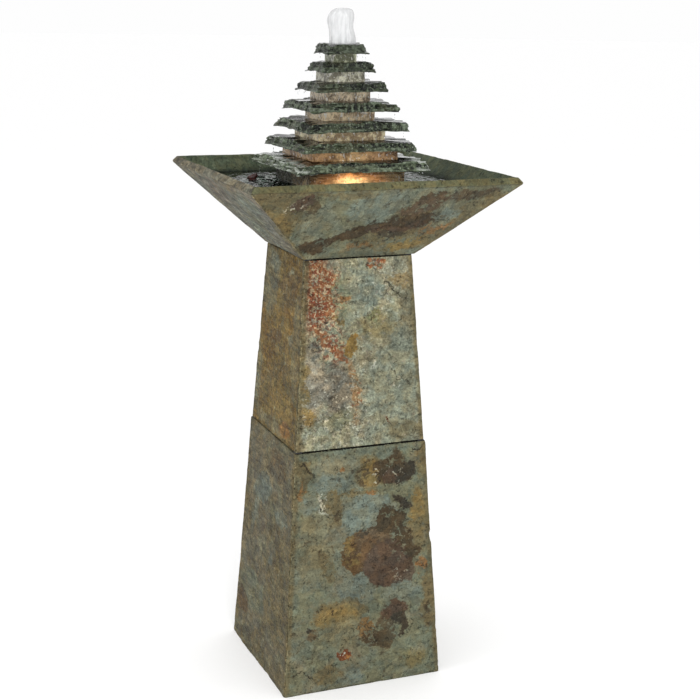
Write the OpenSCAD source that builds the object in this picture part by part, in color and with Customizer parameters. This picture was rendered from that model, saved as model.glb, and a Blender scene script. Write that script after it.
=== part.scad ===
// Tiered slate water fountain: two hollow pedestal sections, a flared square
// basin, and a lift-off tower of chipped plates that stands over a submersible pump.
// The origin is the centre of the footprint on the ground, with +Z up and the
// broad front face towards -Y. All sizes are in millimetres.

/* [Pedestal] */
// Width of the base section at the ground
base_foot_w = 252; // [235:1:270]
// Width of the base section at its top
base_top_w = 207; // [198:1:220]
// Height of the base section
base_h = 368; // [300:1:420]
// Width of the column section at its foot
column_foot_w = 204; // [190:1:206]
// Width of the column section at its top
column_top_w = 166; // [160:1:175]
// Height of the column section
column_h = 276; // [220:1:320]
// Thickness of every slate panel
slate_t = 12; // [10:1:13]
// Width of the glue line in each mitred corner
glue_gap = 0.3; // [0.2:0.1:0.6]
// Thickness of the ring plate in the top of each section
cap_t = 10; // [8:1:12]
// Diameter of the cord passage through the ring plates
cap_hole_d = 110; // [105:1:120]

/* [Basin] */
// Width of the basin at its foot
basin_foot_w = 172; // [170:1:176]
// Widest point of the basin rim
rim_w = 400; // [380:1:420]
// Height of the basin wall, measured on its outer face
basin_wall_h = 112; // [105:1:125]

/* [Tower] */
// Thickness of every slate plate
plate_t = 12; // [10:1:14]
// How far the chipped bevel draws the top of a plate in
plate_bevel = 7; // [4:1:8]
// Height of the spacers between the plates
spacer_h = 15; // [12:1:18]
// Height of the spacer under the top plate
top_spacer_h = 13; // [12:1:18]
// Width of the hollow block that covers the pump
chamber_w = 146; // [140:1:148]
// Height of the hollow block that covers the pump
chamber_h = 110; // [106:1:120]
// Outer diameter of the riser tube
riser_d = 16; // [15:0.5:17]

/* [Pump] */
// Width and length of the motor housing
motor_size = [44, 42]; // [40:1:48]
// Height of the motor housing
motor_h = 38; // [38:1:42]
// Height of the suction feet
foot_h = 8; // [6:1:10]
// Outer diameter of the outlet spigot
spigot_d = 12.5; // [12:0.5:12.5]

/* [Lamp] */
// Sideways place of the lamp on the front wall of the basin
lamp_x = -9; // [-30:1:30]
// How far in front of the tower's axis the suction cup is pressed on
lamp_cup_y = 128; // [124:1:132]
// Angle of the beam above the horizontal
beam_angle = 40; // [30:1:50]
// Radius of the lamp housing
lamp_r = 12; // [11:0.5:12]

/* [Hidden] */
$fn = 64;
// Running clearance on the radius of every turning or sliding fit
run_gap = 0.05;
// Clearance on each side of pieces that are glued or pushed in
seat_gap = 0.2;
// Pads between the sections: side, height below the column, height below the basin
pad_w = 10;
column_pad_t = 1.5;
basin_pad_t = 2;
// Widths of the plates and of the solid spacers, from the top down
plate_w = [61, 81, 103, 130, 152, 172, 200];
spacer_w = [36, 55, 68, 78, 102, 130];
plate_count = len(plate_w);
spacer_count = len(spacer_w);

// Heights of the sections
column_z = base_h + column_pad_t;
basin_z = column_z + column_h + basin_pad_t;
floor_top = basin_z + slate_t;
chamber_top = floor_top + chamber_h;

// Slope of the basin walls above the horizontal, and the top inner edge of the rim
wall_slope = atan(2 * basin_wall_h / (rim_w - basin_foot_w));
rim_inner_y = rim_w / 2 - slate_t * sin(wall_slope);
rim_top_z = basin_z + basin_wall_h + slate_t * cos(wall_slope);
// The basin's inner half width at a height
function basin_half(z) = rim_inner_y - (rim_top_z - z) / tan(wall_slope);

// Heights of the plates, counted from 1 at the top
function plates_below(i) = plate_count - i;
function plate_z(i) = i > 1
    ? chamber_top + plates_below(i) * (plate_t + spacer_h)
    : chamber_top + (plates_below(i) - 1) * (plate_t + spacer_h) + plate_t + top_spacer_h;
function spacer_height(i) = i > 1 ? spacer_h : top_spacer_h;
tower_top = plate_z(1) + plate_t;

// Riser tube and nozzle
riser_r = riser_d / 2;
spigot_r = spigot_d / 2;
riser_bore_r = spigot_r + run_gap;
plate_bore_r = riser_r + 0.25;
nozzle_h = 15;
nozzle_r = 8.5;
nozzle_flange_r = 12;
nozzle_flange_t = 2.5;
nozzle_spigot_h = 16;

// Pump: its axis runs along Y, with the impeller under the riser
pump_z = floor_top + foot_h + motor_h / 2 + 1;
motor_y = 8;
motor_back = motor_y + motor_size[1];
volute_r = 19;
volute_cavity_r = 14.5;
volute_front = -8;
flange_t = 4;
spigot_top = 40;
riser_start = 22;
shaft_r = 1.5;
shaft_start = volute_front + 1.1;
shaft_l = 51;
rotor_well_r = 9;
rotor_well_end = 40;
magnet_r = 8.3;
magnet_start = 11;
magnet_l = 27;
cord_boss_r = 5;
cord_boss_h = 5;
impeller_r = 12.5;
vane_count = 6;
cover_depth = 18;
cover_front = volute_front - run_gap - cover_depth;
cover_wall = 2;
dial_r = 8;
dial_t = 2.5;
dial_pin_r = 2;
dial_vent_r = 1.8;
dial_vent_place = 5.2;
eye_hole_r = 2.6;
eye_place = 8.5;
bush_r = 3.2;
rear_bush_r = 4;
screw_places = [[-18.5, -15.5], [18.5, -15.5], [-18.5, 15.5], [18.5, 15.5]];
screw_r = 1.2;
driver_hole_r = 2.3;
foot_places = [[-15, 14], [15, 14], [-15, 43], [15, 43]];

// Cord gland in the basin floor, beside the pump
gland_x = -42;
gland_r = 9;
gland_flange_r = 12;
cord_hole_r = 3.2;

// Lamp: a frame on the front wall, whose +Y points out of the wall
cup_h = 8;
yoke_t = 2.5;
pivot_h = 27;
arm_t = 2;
arm_w = 9;
arm_x = lamp_r + 1.2;
pin_r = 2;
cup_z = rim_top_z - (rim_inner_y - lamp_cup_y) * tan(wall_slope);
cup_angle = 90 - wall_slope;
pivot_y = pivot_h * sin(wall_slope) - lamp_cup_y;
pivot_z = cup_z + pivot_h * cos(wall_slope);

SLATE = "#6f7563";
SLATE_WET = "#2f4238";
SPACER = "#b39a7c";
PLASTIC = "#202224";
RUBBER = "#3a3a3a";
CLEAR = "#cfe0e4";

// ---- Shared shapes ----

// Quarter of the plan that belongs to the front wall, less half the glue line
module front_quarter(reach, h) {
    apex = glue_gap / sqrt(2);
    linear_extrude(h)
        polygon([[0, -apex], [-reach, -reach - apex], [reach, -reach - apex]]);
}

// One mitred wall of a square section, as the front wall. Its outer face leans
// from foot_w to top_w. A square_edge is cut at right angles to the slab, and
// any other top is cut level.
module mitred_wall(foot_w, top_w, h, square_edge = false) {
    run = (top_w - foot_w) / 2;
    slant = norm([run, h]);
    level_t = slate_t * slant / h;
    inner_top = square_edge
        ? [-top_w / 2 + slate_t * h / slant, h + slate_t * run / slant]
        : [-top_w / 2 + level_t, h];
    outline = [[-foot_w / 2, 0], [-top_w / 2, h], inner_top, [-foot_w / 2 + level_t, 0]];
    reach = max(foot_w, top_w);
    intersection() {
        rotate([90, 0, 90])
            linear_extrude(reach, center = true)
                polygon(outline);
        translate([0, 0, -1])
            front_quarter(reach, h + slate_t + 2);
    }
}

// A level square plate whose edge follows walls that lean from foot_w to top_w
module tapered_plate(foot_w, top_w, h) {
    linear_extrude(h, scale = top_w / foot_w)
        square(foot_w, center = true);
}

// Resin along the four inner corners between two heights
module corner_beads(foot_half, top_half, z, h, leg) {
    for (turn = [0 : 90 : 270])
        rotate(turn)
            hull() {
                translate([foot_half, foot_half, z])
                    bead_section(leg);
                translate([top_half, top_half, z + h])
                    bead_section(leg);
            }
}

module bead_section(leg) {
    linear_extrude(0.01)
        polygon([[0, 0], [-leg, 0], [0, -leg]]);
}

// Four square pads that stand on the corners of a section
module corner_pads(place, z, h) {
    for (x = [-place, place], y = [-place, place])
        translate([x - pad_w / 2, y - pad_w / 2, z])
            cube([pad_w, pad_w, h]);
}

// A block with round vertical corners, drawn upwards from its centre
module round_block(width, depth, h, r) {
    translate([-width / 2 + r, -depth / 2, 0])
        cube([width - 2 * r, depth, h]);
    translate([-width / 2, -depth / 2 + r, 0])
        cube([width, depth - 2 * r, h]);
    for (x = [r - width / 2, width / 2 - r], y = [r - depth / 2, depth / 2 - r])
        translate([x, y, 0])
            cylinder(h = h, r = r);
}

// A cylinder along +Y that starts at the height y
module y_cylinder(y, h, r, r2 = 0) {
    translate([0, y, 0])
        rotate([-90, 0, 0])
            cylinder(h = h, r1 = r, r2 = r2 > 0 ? r2 : r);
}

// A round-cornered block along +Y that starts at the height y
module y_block(y, h, width, height, r) {
    translate([0, y, 0])
        rotate([-90, 0, 0])
            round_block(width, height, h, r);
}

// ---- Base section ----

base_lean = (base_foot_w - base_top_w) / 2 / base_h;
base_inset = slate_t * sqrt(1 + pow(base_lean, 2)) + seat_gap;
function base_half(z) = base_foot_w / 2 - base_lean * z - base_inset;

module base_wall(turn) {
    color(SLATE)
        rotate(turn)
            mitred_wall(base_foot_w, base_top_w, base_h);
}

module base_front() {
    base_wall(0);
}

module base_right() {
    base_wall(90);
}

// The back panel has a notch at the ground for the cords
notch_w = 26;
notch_h = 18;

module base_back() {
    color(SLATE)
        difference() {
            base_wall(180);
            translate([-notch_w / 2, base_foot_w / 2 - 2 * slate_t, -1])
                cube([notch_w, 3 * slate_t, notch_h + 1]);
        }
}

module base_left() {
    base_wall(270);
}

module base_cap() {
    z = base_h - cap_t;
    color(SLATE)
        translate([0, 0, z])
            difference() {
                tapered_plate(2 * base_half(z), 2 * base_half(base_h), cap_t);
                translate([0, 0, -1])
                    cylinder(h = cap_t + 2, d = cap_hole_d);
            }
}

bead_leg = 7;
bead_start = 6;

module base_corner_beads() {
    h = base_h - cap_t - seat_gap - bead_start;
    color("#8b8677")
        corner_beads(base_half(bead_start), base_half(bead_start + h), bead_start, h, bead_leg);
}

// ---- Column section ----

column_lean = (column_foot_w - column_top_w) / 2 / column_h;
column_inset = slate_t * sqrt(1 + pow(column_lean, 2)) + seat_gap;
function column_half(z) = column_foot_w / 2 - column_lean * z - column_inset;

module column_wall(turn) {
    color(SLATE)
        translate([0, 0, column_z])
            rotate(turn)
                mitred_wall(column_foot_w, column_top_w, column_h);
}

module column_front() {
    column_wall(0);
}

module column_right() {
    column_wall(90);
}

module column_back() {
    column_wall(180);
}

module column_left() {
    column_wall(270);
}

module column_cap() {
    z = column_h - cap_t;
    color(SLATE)
        translate([0, 0, column_z + z])
            difference() {
                tapered_plate(2 * column_half(z), 2 * column_half(column_h), cap_t);
                translate([0, 0, -1])
                    cylinder(h = cap_t + 2, d = cap_hole_d);
            }
}

module column_corner_beads() {
    h = column_h - cap_t - seat_gap - bead_start;
    color("#8b8677")
        translate([0, 0, column_z])
            corner_beads(
                column_half(bead_start), column_half(bead_start + h), bead_start, h, bead_leg);
}

module column_pads() {
    color(RUBBER)
        corner_pads(column_foot_w / 2 - 6, base_h, column_pad_t);
}

// ---- Basin ----

module basin_wall(turn) {
    color(SLATE)
        translate([0, 0, basin_z])
            rotate(turn)
                mitred_wall(basin_foot_w, rim_w, basin_wall_h, square_edge = true);
}

module basin_front() {
    basin_wall(0);
}

module basin_right() {
    basin_wall(90);
}

module basin_back() {
    basin_wall(180);
}

module basin_left() {
    basin_wall(270);
}

module basin_floor() {
    color(SLATE)
        translate([0, 0, basin_z])
            difference() {
                tapered_plate(
                    2 * (basin_half(basin_z) - seat_gap),
                    2 * (basin_half(floor_top) - seat_gap),
                    slate_t);
                translate([gland_x, 0, -1])
                    cylinder(h = slate_t + 2, r = gland_r);
            }
}

// Sealant round the floor and up the four corners of the basin
sealant_h = 4;
sealant_w = 5;

module basin_sealant() {
    skin = 0.15;
    half = basin_half(floor_top) - skin;
    top = basin_half(floor_top + sealant_h) - skin;
    climb = basin_wall_h - slate_t - 2 * sealant_h;
    climb_z = floor_top + sealant_h;
    color("#8d9087")
        union() {
            translate([0, 0, floor_top])
                difference() {
                    tapered_plate(2 * half, 2 * top, sealant_h);
                    translate([0, 0, -1])
                        linear_extrude(sealant_h + 2)
                            square(2 * (half - sealant_w), center = true);
                }
            corner_beads(
                top, basin_half(climb_z + climb) - skin, climb_z, climb, sealant_w);
        }
}

module basin_pads() {
    color(RUBBER)
        corner_pads(column_top_w / 2 - 6, column_z + column_h, basin_pad_t);
}

// Rubber gland that seals the two cords where they leave through the floor
module cord_gland() {
    lower_flange_t = 1.5;
    upper_flange_t = 3;
    body_h = slate_t + lower_flange_t + upper_flange_t;
    color(RUBBER)
        translate([gland_x, 0, basin_z])
            difference() {
                union() {
                    translate([0, 0, -lower_flange_t])
                        cylinder(h = lower_flange_t, r = gland_flange_r);
                    translate([0, 0, -lower_flange_t])
                        cylinder(h = body_h, r = gland_r - run_gap);
                    translate([0, 0, slate_t])
                        cylinder(h = upper_flange_t, r = gland_flange_r);
                }
                for (y = [-4.4, 4.4])
                    translate([0, y, -lower_flange_t - 1])
                        cylinder(h = body_h + 2, r = cord_hole_r);
            }
}

// ---- Pump ----

module at_pump() {
    translate([0, 0, pump_z])
        children();
}

module at_screws() {
    for (place = screw_places)
        translate([place[0], 0, place[1]])
            children();
}

module pump_motor() {
    color(PLASTIC)
        at_pump()
            difference() {
                union() {
                    y_block(motor_y, motor_size[1], motor_size[0], motor_h, 4);
                    y_cylinder(motor_back - 1, cord_boss_h + 1, cord_boss_r);
                }
                y_cylinder(motor_y - 1, rotor_well_end - motor_y + 1, rotor_well_r);
                y_cylinder(rotor_well_end - 1, 5.5, rear_bush_r);
                y_cylinder(motor_back - 2, 8, cord_hole_r);
                at_screws()
                    y_cylinder(motor_y - 1, 8, screw_r + run_gap);
            }
}

module pump_volute() {
    wall_t = 3;
    color(PLASTIC)
        at_pump()
            difference() {
                union() {
                    y_cylinder(volute_front, motor_y - volute_front, volute_r);
                    y_block(volute_front, flange_t - 1, motor_size[0], motor_h, 4);
                    y_block(motor_y - flange_t, flange_t, motor_size[0], motor_h, 4);
                    cylinder(h = spigot_top, r = spigot_r);
                }
                y_cylinder(volute_front + wall_t, motor_y - volute_front, volute_cavity_r);
                cylinder(h = spigot_top + 1, r = spigot_r - 1.75);
                y_cylinder(volute_front + 1, wall_t, bush_r + run_gap);
                for (turn = [45 : 90 : 315])
                    rotate([0, turn, 0])
                        translate([eye_place, 0, 0])
                            y_cylinder(volute_front - 1, wall_t + 2, eye_hole_r);
                at_screws() {
                    y_cylinder(volute_front - 1, flange_t + 1, driver_hole_r);
                    y_cylinder(motor_y - flange_t - 1, flange_t + 2, screw_r + 0.15);
                }
            }
}

// Four screws that hold the volute to the motor
module pump_screws() {
    head_h = 1.6;
    color("silver")
        at_pump()
            at_screws() {
                y_cylinder(motor_y - flange_t - head_h, head_h, 2.1);
                y_cylinder(motor_y - flange_t - 0.01, 10, screw_r);
            }
}

// Four suction feet under the motor
module pump_feet() {
    cup_h = 5;
    color(RUBBER)
        for (place = foot_places)
            translate([place[0], place[1], floor_top]) {
                cylinder(h = cup_h, r1 = 7, r2 = 3);
                cylinder(h = foot_h + 1, r = 2.6);
            }
}

module pump_shaft() {
    color("ivory")
        at_pump()
            y_cylinder(shaft_start, shaft_l, shaft_r);
}

// Rubber bushes that hold the two ends of the shaft
module shaft_bushes() {
    bush_bore_r = shaft_r + 0.02;
    color(RUBBER)
        at_pump() {
            difference() {
                y_cylinder(shaft_start, 2.4, bush_r);
                y_cylinder(volute_front, 5, bush_bore_r);
            }
            difference() {
                y_cylinder(rotor_well_end, 4.4, rear_bush_r - run_gap);
                y_cylinder(rotor_well_end - 1, 6, bush_bore_r);
            }
        }
}

module rotor_magnet() {
    color("dimgray")
        at_pump()
            difference() {
                y_cylinder(magnet_start, magnet_l, magnet_r);
                y_cylinder(magnet_start - 1, magnet_l + 2, shaft_r + run_gap);
            }
}

module impeller() {
    vane_w = 1.4;
    vane_start = -3;
    disc_y = 4;
    disc_t = 1.5;
    hub_r = 3.6;
    color("gainsboro")
        at_pump()
            difference() {
                union() {
                    y_cylinder(vane_start, magnet_start - vane_start, hub_r);
                    y_cylinder(disc_y, disc_t, impeller_r);
                    for (i = [0 : vane_count - 1])
                        rotate([0, i * 360 / vane_count, 0])
                            translate([-vane_w / 2, vane_start, 0])
                                cube([vane_w, disc_y - vane_start + 0.5, impeller_r - 0.6]);
                }
                y_cylinder(vane_start - 1, 16, shaft_r + run_gap);
            }
}

// Slotted cover over the intake, which pulls off towards the front
module intake_cover() {
    slot_w = 2.4;
    slot_h = 26;
    width = motor_size[0] - 1;
    height = motor_h - 1;
    color(PLASTIC)
        at_pump()
            difference() {
                union() {
                    y_block(cover_front, cover_depth, width, height, 4);
                    y_cylinder(cover_front - dial_t - 0.6, 2 + dial_t, dial_pin_r);
                }
                y_block(cover_front + cover_wall, cover_depth,
                    width - 2 * cover_wall, height - 2 * cover_wall, 2.5);
                for (side = [-1, 1], i = [0 : 1])
                    translate([side * (11.5 + 4.5 * i) - slot_w / 2, cover_front - 1, -slot_h / 2])
                        cube([slot_w, cover_wall + 2, slot_h]);
                for (side = [-1, 1], y = [4 : 4.5 : 13])
                    translate([side * width / 2 - 2 * cover_wall, cover_front + y, -slot_h / 2])
                        cube([4 * cover_wall, slot_w, slot_h]);
                for (side = [-1, 1])
                    translate([side * dial_vent_place, 0, 0])
                        y_cylinder(cover_front - 1, cover_wall + 2, dial_vent_r);
            }
}

// Dial that opens or closes the two vents in the cover
module flow_dial() {
    dial_y = cover_front - dial_t - 0.05;
    color("gray")
        at_pump()
            difference() {
                union() {
                    y_cylinder(dial_y, dial_t, dial_r);
                    translate([-1, dial_y - 2, -dial_r])
                        cube([2, 2.5, 2 * dial_r]);
                }
                y_cylinder(dial_y - 3, dial_t + 4, dial_pin_r + run_gap);
                for (side = [-1, 1])
                    translate([side * dial_vent_place, 0, 0])
                        y_cylinder(dial_y - 3, dial_t + 4, dial_vent_r);
            }
}

// ---- Lamp ----

module at_cup() {
    translate([lamp_x, -lamp_cup_y, cup_z])
        rotate([cup_angle, 0, 0])
            children();
}

module at_lamp() {
    translate([lamp_x, pivot_y, pivot_z])
        rotate([beam_angle, 0, 0])
            children();
}

module lamp_cup() {
    color(RUBBER)
        at_cup() {
            y_cylinder(0.05, 6, 13, 5);
            y_cylinder(5, cup_h - 5, 4);
        }
}

module lamp_yoke() {
    arm_top = pivot_h + arm_w / 2;
    color(PLASTIC)
        at_cup()
            difference() {
                union() {
                    translate([-arm_x - arm_t, cup_h, -arm_w / 2])
                        cube([2 * (arm_x + arm_t), yoke_t, arm_w]);
                    for (x = [-arm_x - arm_t, arm_x])
                        translate([x, cup_h, -arm_w / 2])
                            cube([arm_t, arm_top - cup_h, arm_w]);
                }
                translate([-arm_x - arm_t - 1, pivot_h, 0])
                    rotate([0, 90, 0])
                        cylinder(h = 2 * (arm_x + arm_t + 1), r = pin_r + run_gap);
            }
}

// Two headed pins that carry the lamp in its yoke
module lamp_pins() {
    pin_start = lamp_r - 1.7;
    head_t = 1.5;
    head_x = arm_x + arm_t + run_gap;
    color("silver")
        at_lamp()
            for (turn = [0, 180])
                rotate([0, turn, 0])
                    rotate([0, 90, 0]) {
                        translate([0, 0, pin_start])
                            cylinder(h = head_x - pin_start + 0.01, r = pin_r);
                        translate([0, 0, head_x])
                            cylinder(h = head_t, r = 3.4);
                    }
}

lens_r = lamp_r - 2.1;
well_r = lamp_r - 3.4;

module lamp_housing() {
    boss_t = 1;
    color(PLASTIC)
        at_lamp()
            difference() {
                union() {
                    y_cylinder(-8, 16, lamp_r);
                    y_cylinder(-12, 5, 4);
                    rotate([0, 90, 0])
                        cylinder(h = 2 * (lamp_r + boss_t), r = 3.5, center = true);
                }
                y_cylinder(5.3, 4, lens_r + 0.1);
                y_cylinder(-3.5, 10, well_r);
                y_cylinder(-5.5, 4, well_r - 1.5);
                y_cylinder(-13, 4, cord_hole_r - 0.6);
                for (turn = [0, 180])
                    rotate([0, turn, 0])
                        rotate([0, 90, 0])
                            translate([0, 0, lamp_r - 1.8])
                                cylinder(h = 4, r = pin_r + 0.02);
            }
}

module lamp_bezel() {
    color("silver")
        at_lamp()
            difference() {
                y_cylinder(8.02, 2.5, lamp_r + 1);
                y_cylinder(7, 5, lens_r - 1);
            }
}

module lamp_lens() {
    color(CLEAR)
        at_lamp()
            y_cylinder(6.5, 1.5, lens_r);
}

module lamp_seal() {
    color(RUBBER)
        at_lamp()
            difference() {
                y_cylinder(5.32, 1.16, lens_r - 0.05);
                y_cylinder(5, 2, well_r);
            }
}

// Round board with three light-emitting diodes
module led_board() {
    led_r = 1.8;
    led_place = 4;
    color("ivory")
        at_lamp() {
            y_cylinder(-3.48, 1.5, well_r - 0.1);
            for (turn = [90 : 120 : 330])
                rotate([0, turn, 0])
                    translate([led_place, 0, 0]) {
                        y_cylinder(-2, 1.2, led_r);
                        translate([0, -0.8, 0])
                            sphere(r = led_r);
                    }
        }
}

// ---- Tower ----

chamber_notch_w = 36;
chamber_notch_h = 16;

module chamber_wall(turn) {
    color(SPACER)
        translate([0, 0, floor_top])
            rotate(turn)
                mitred_wall(chamber_w, chamber_w, chamber_h);
}

module chamber_front() {
    chamber_wall(0);
}

module chamber_right() {
    chamber_wall(90);
}

// The back wall of the block has a notch that lets in water and the lamp's cord
module chamber_back() {
    color(SPACER)
        difference() {
            chamber_wall(180);
            translate([-chamber_notch_w / 2, chamber_w / 2 - 2 * slate_t, floor_top - 1])
                cube([chamber_notch_w, 3 * slate_t, chamber_notch_h + 1]);
        }
}

module chamber_left() {
    chamber_wall(270);
}

// A spacer block, counted from 1 under the top plate
module spacer(i) {
    w = spacer_w[i - 1];
    h = spacer_height(i);
    color(SPACER)
        translate([0, 0, plate_z(i) - h])
            difference() {
                translate([-w / 2, -w / 2, 0])
                    cube([w, w, h]);
                translate([0, 0, -1])
                    cylinder(h = h + 2, r = plate_bore_r);
            }
}

// A bevelled plate, counted from 1 at the top
module plate(i) {
    w = plate_w[i - 1];
    color(SLATE_WET)
        translate([0, 0, plate_z(i)])
            difference() {
                tapered_plate(w, w - 2 * plate_bevel, plate_t);
                translate([0, 0, -1])
                    cylinder(h = plate_t + 2, r = plate_bore_r);
            }
}

module riser_tube() {
    foot = pump_z + riser_start;
    color(CLEAR)
        translate([0, 0, foot])
            difference() {
                cylinder(h = tower_top - foot, r = riser_r);
                translate([0, 0, -1])
                    cylinder(h = tower_top - foot + 2, r = riser_bore_r);
            }
}

// Clear head that stands on the top plate and spreads the water
module bubbler_nozzle() {
    lid_t = 2;
    jet_r = 1.1;
    jet_place = 3;
    bore_r = 4.5;
    color(CLEAR)
        translate([0, 0, tower_top])
            difference() {
                union() {
                    translate([0, 0, -nozzle_spigot_h])
                        cylinder(h = nozzle_spigot_h + 1, r = spigot_r);
                    cylinder(h = nozzle_flange_t, r = nozzle_flange_r);
                    cylinder(h = nozzle_h, r = nozzle_r);
                }
                translate([0, 0, -nozzle_spigot_h - 1])
                    cylinder(h = nozzle_spigot_h + nozzle_h + 1 - lid_t, r = bore_r);
                for (turn = [0 : 60 : 300])
                    rotate(turn)
                        translate([jet_place, 0, nozzle_h - lid_t - 1])
                            cylinder(h = lid_t + 2, r = jet_r);
            }
}

// ---- What is drawn ----

base_front();
base_right();
base_back();
base_left();
base_cap();
base_corner_beads();
column_front();
column_right();
column_back();
column_left();
column_cap();
column_corner_beads();
column_pads();
basin_front();
basin_right();
basin_back();
basin_left();
basin_floor();
basin_sealant();
basin_pads();
cord_gland();
pump_motor();
pump_volute();
pump_screws();
pump_feet();
pump_shaft();
shaft_bushes();
rotor_magnet();
impeller();
intake_cover();
flow_dial();
lamp_cup();
lamp_yoke();
lamp_pins();
lamp_housing();
lamp_bezel();
lamp_lens();
lamp_seal();
led_board();
chamber_front();
chamber_right();
chamber_back();
chamber_left();
riser_tube();
bubbler_nozzle();
for (i = [1 : spacer_count])
    spacer(i);
for (i = [1 : plate_count])
    plate(i);
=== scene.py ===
"""Looks of the tiered slate fountain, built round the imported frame.

Everything is in metres in the frame's own axes: +Z up, the broad front towards -Y.
"""

import math

import bpy
import numpy as np
from mathutils import Matrix, Vector


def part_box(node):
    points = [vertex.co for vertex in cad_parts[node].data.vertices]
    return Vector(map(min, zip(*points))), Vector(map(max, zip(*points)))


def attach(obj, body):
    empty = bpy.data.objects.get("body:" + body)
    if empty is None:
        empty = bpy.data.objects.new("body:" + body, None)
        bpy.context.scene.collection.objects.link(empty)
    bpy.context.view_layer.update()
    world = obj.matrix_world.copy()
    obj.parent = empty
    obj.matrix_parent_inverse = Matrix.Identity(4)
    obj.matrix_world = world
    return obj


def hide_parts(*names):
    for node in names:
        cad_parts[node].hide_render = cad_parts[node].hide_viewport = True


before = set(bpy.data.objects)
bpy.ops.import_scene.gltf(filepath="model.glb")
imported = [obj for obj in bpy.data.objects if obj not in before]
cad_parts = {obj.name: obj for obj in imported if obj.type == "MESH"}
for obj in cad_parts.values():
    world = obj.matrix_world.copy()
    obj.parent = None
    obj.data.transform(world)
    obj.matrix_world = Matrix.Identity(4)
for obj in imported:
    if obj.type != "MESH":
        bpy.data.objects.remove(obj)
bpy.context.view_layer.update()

MM = 0.001
# Outward direction of each side of a square section
SIDES = {"front": (0, -1), "right": (1, 0), "back": (0, 1), "left": (-1, 0)}
# Axis that runs across each side, and which way it runs to the right
ACROSS = {"front": (0, 1), "right": (1, 1), "back": (0, -1), "left": (1, -1)}
# Half of the glue line in a mitred corner, along the wall
GLUE = 0.21 * MM
# Radius of the bore that the riser tube passes through
BORE = 8.25 * MM
# How far from an edge a wall is worn
WORN = 9 * MM
# Distance from a square corner to its rounding, as a share of the radius
ARC_GAP = 0.293

# Linear colours of the stone
SLATE_BLUE = (0.128, 0.145, 0.114)
BLUE_GREY = (0.124, 0.128, 0.088)
SLATE_GREEN = (0.120, 0.126, 0.082)
PALE_GREY = (0.150, 0.150, 0.102)
LIGHT_GREY = (0.208, 0.214, 0.154)
OLIVE = (0.136, 0.123, 0.072)
OLIVE_BROWN = (0.112, 0.092, 0.047)
EARTH = (0.086, 0.053, 0.024)
OCHRE = (0.160, 0.114, 0.042)
RUST = (0.190, 0.096, 0.034)
RED_RUST = (0.280, 0.116, 0.044)
PLUM = (0.074, 0.050, 0.033)
DARK_BROWN = (0.054, 0.040, 0.022)
CHARCOAL = (0.040, 0.034, 0.023)
CREAM = (0.440, 0.420, 0.330)
BRICK = (0.200, 0.092, 0.042)
DEEP_RED = (0.142, 0.038, 0.020)
STRAW = (0.350, 0.290, 0.185)
DUSK = (0.100, 0.098, 0.070)
BLACK_BROWN = (0.052, 0.038, 0.022)
# Near black of wet slate, also painted as shade deep in the chips of the plates
WET_AND_SHADE_BLACK = (0.002, 0.003, 0.002)


# ---- Noise on arrays of points ----


def smooth_step(value, low, high):
    part = np.clip((value - low) / (high - low), 0.0, 1.0)
    return part * part * (3.0 - 2.0 * part)


def lattice_noise(points, seed):
    """Smooth noise from -1 to 1 at an (n, 3) array of points, one cell per unit."""
    cell = np.floor(points).astype(np.int64)
    part = points - cell
    part = part * part * (3.0 - 2.0 * part)
    total = np.zeros(len(points))
    for corner in range(8):
        step = np.array([corner & 1, corner >> 1 & 1, corner >> 2 & 1])
        key = (cell + step) @ np.array([73856093, 19349663, 83492791]) + seed * 7919
        key = key & 0xFFFFFFFF
        key = (key ^ key >> 13) * 1274126177 & 0xFFFFFFFF
        key = key ^ key >> 16
        weight = np.prod(np.where(step == 1, part, 1.0 - part), axis=1)
        total += weight * ((key & 0xFFFF) / 32767.5 - 1.0)
    return total


def layered_noise(points, seed, octaves=4, gain=0.5):
    total = np.zeros(len(points))
    size = 1.0
    reach = 0.0
    for octave in range(octaves):
        total += size * lattice_noise(points * 2.0**octave, seed + octave)
        reach += size
        size *= gain
    return total / reach


def cleft(points, seed):
    """Relief of a split slate face: broad waves, broken thin layers and fine tooth."""
    warp = layered_noise(points * 30.0, seed + 40, 2)[:, None] * 0.5
    broad = layered_noise(points * 8.0, seed, 2)
    layers = layered_noise(points * 16.0 + warp, seed + 10, 4) * 4.6
    level = np.floor(layers)
    terrace = level + smooth_step(layers - level, 0.80, 1.0)
    tooth = layered_noise(points * 190.0, seed + 20, 2)
    return (0.7 * broad + 0.46 * terrace + 0.20 * tooth - 0.35) * MM


# ---- Meshes ----


def mesh_object(name, vertices, faces, material=None):
    mesh = bpy.data.meshes.new(name)
    mesh.from_pydata([tuple(v) for v in vertices], [], faces)
    if material:
        mesh.materials.append(material)
    mesh.update()
    item = bpy.data.objects.new(name, mesh)
    bpy.context.collection.objects.link(item)
    return item


def new_piece(name, vertices, faces, material, body, replaces=(), flat_from=None):
    """A mesh piece that rides on a body. Faces from flat_from on are shaded flat."""
    piece = mesh_object(name, vertices, faces, material)
    limit = len(faces) if flat_from is None else flat_from
    piece.data.polygons.foreach_set("use_smooth", [i < limit for i in range(len(faces))])
    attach(piece, body)
    if replaces:
        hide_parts(*replaces)
    return piece


def sharpen(piece, degrees):
    """Marks the edges that turn by more than an angle as sharp."""
    piece.data.set_sharp_from_angle(angle=math.radians(degrees))


def half_width(node):
    low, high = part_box(node)
    return (high.x - low.x) / 2


def on_square(side, run, half):
    """A point on one side of a square, counted from the front, so far from its middle."""
    return [(run, -half), (half, run), (run, half), (-half, run)][side]


def spokes(around):
    """Unit vectors all the way round, and their angles."""
    angle = np.arange(around) * math.tau / around
    return np.column_stack([np.cos(angle), np.sin(angle)]), angle


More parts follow.
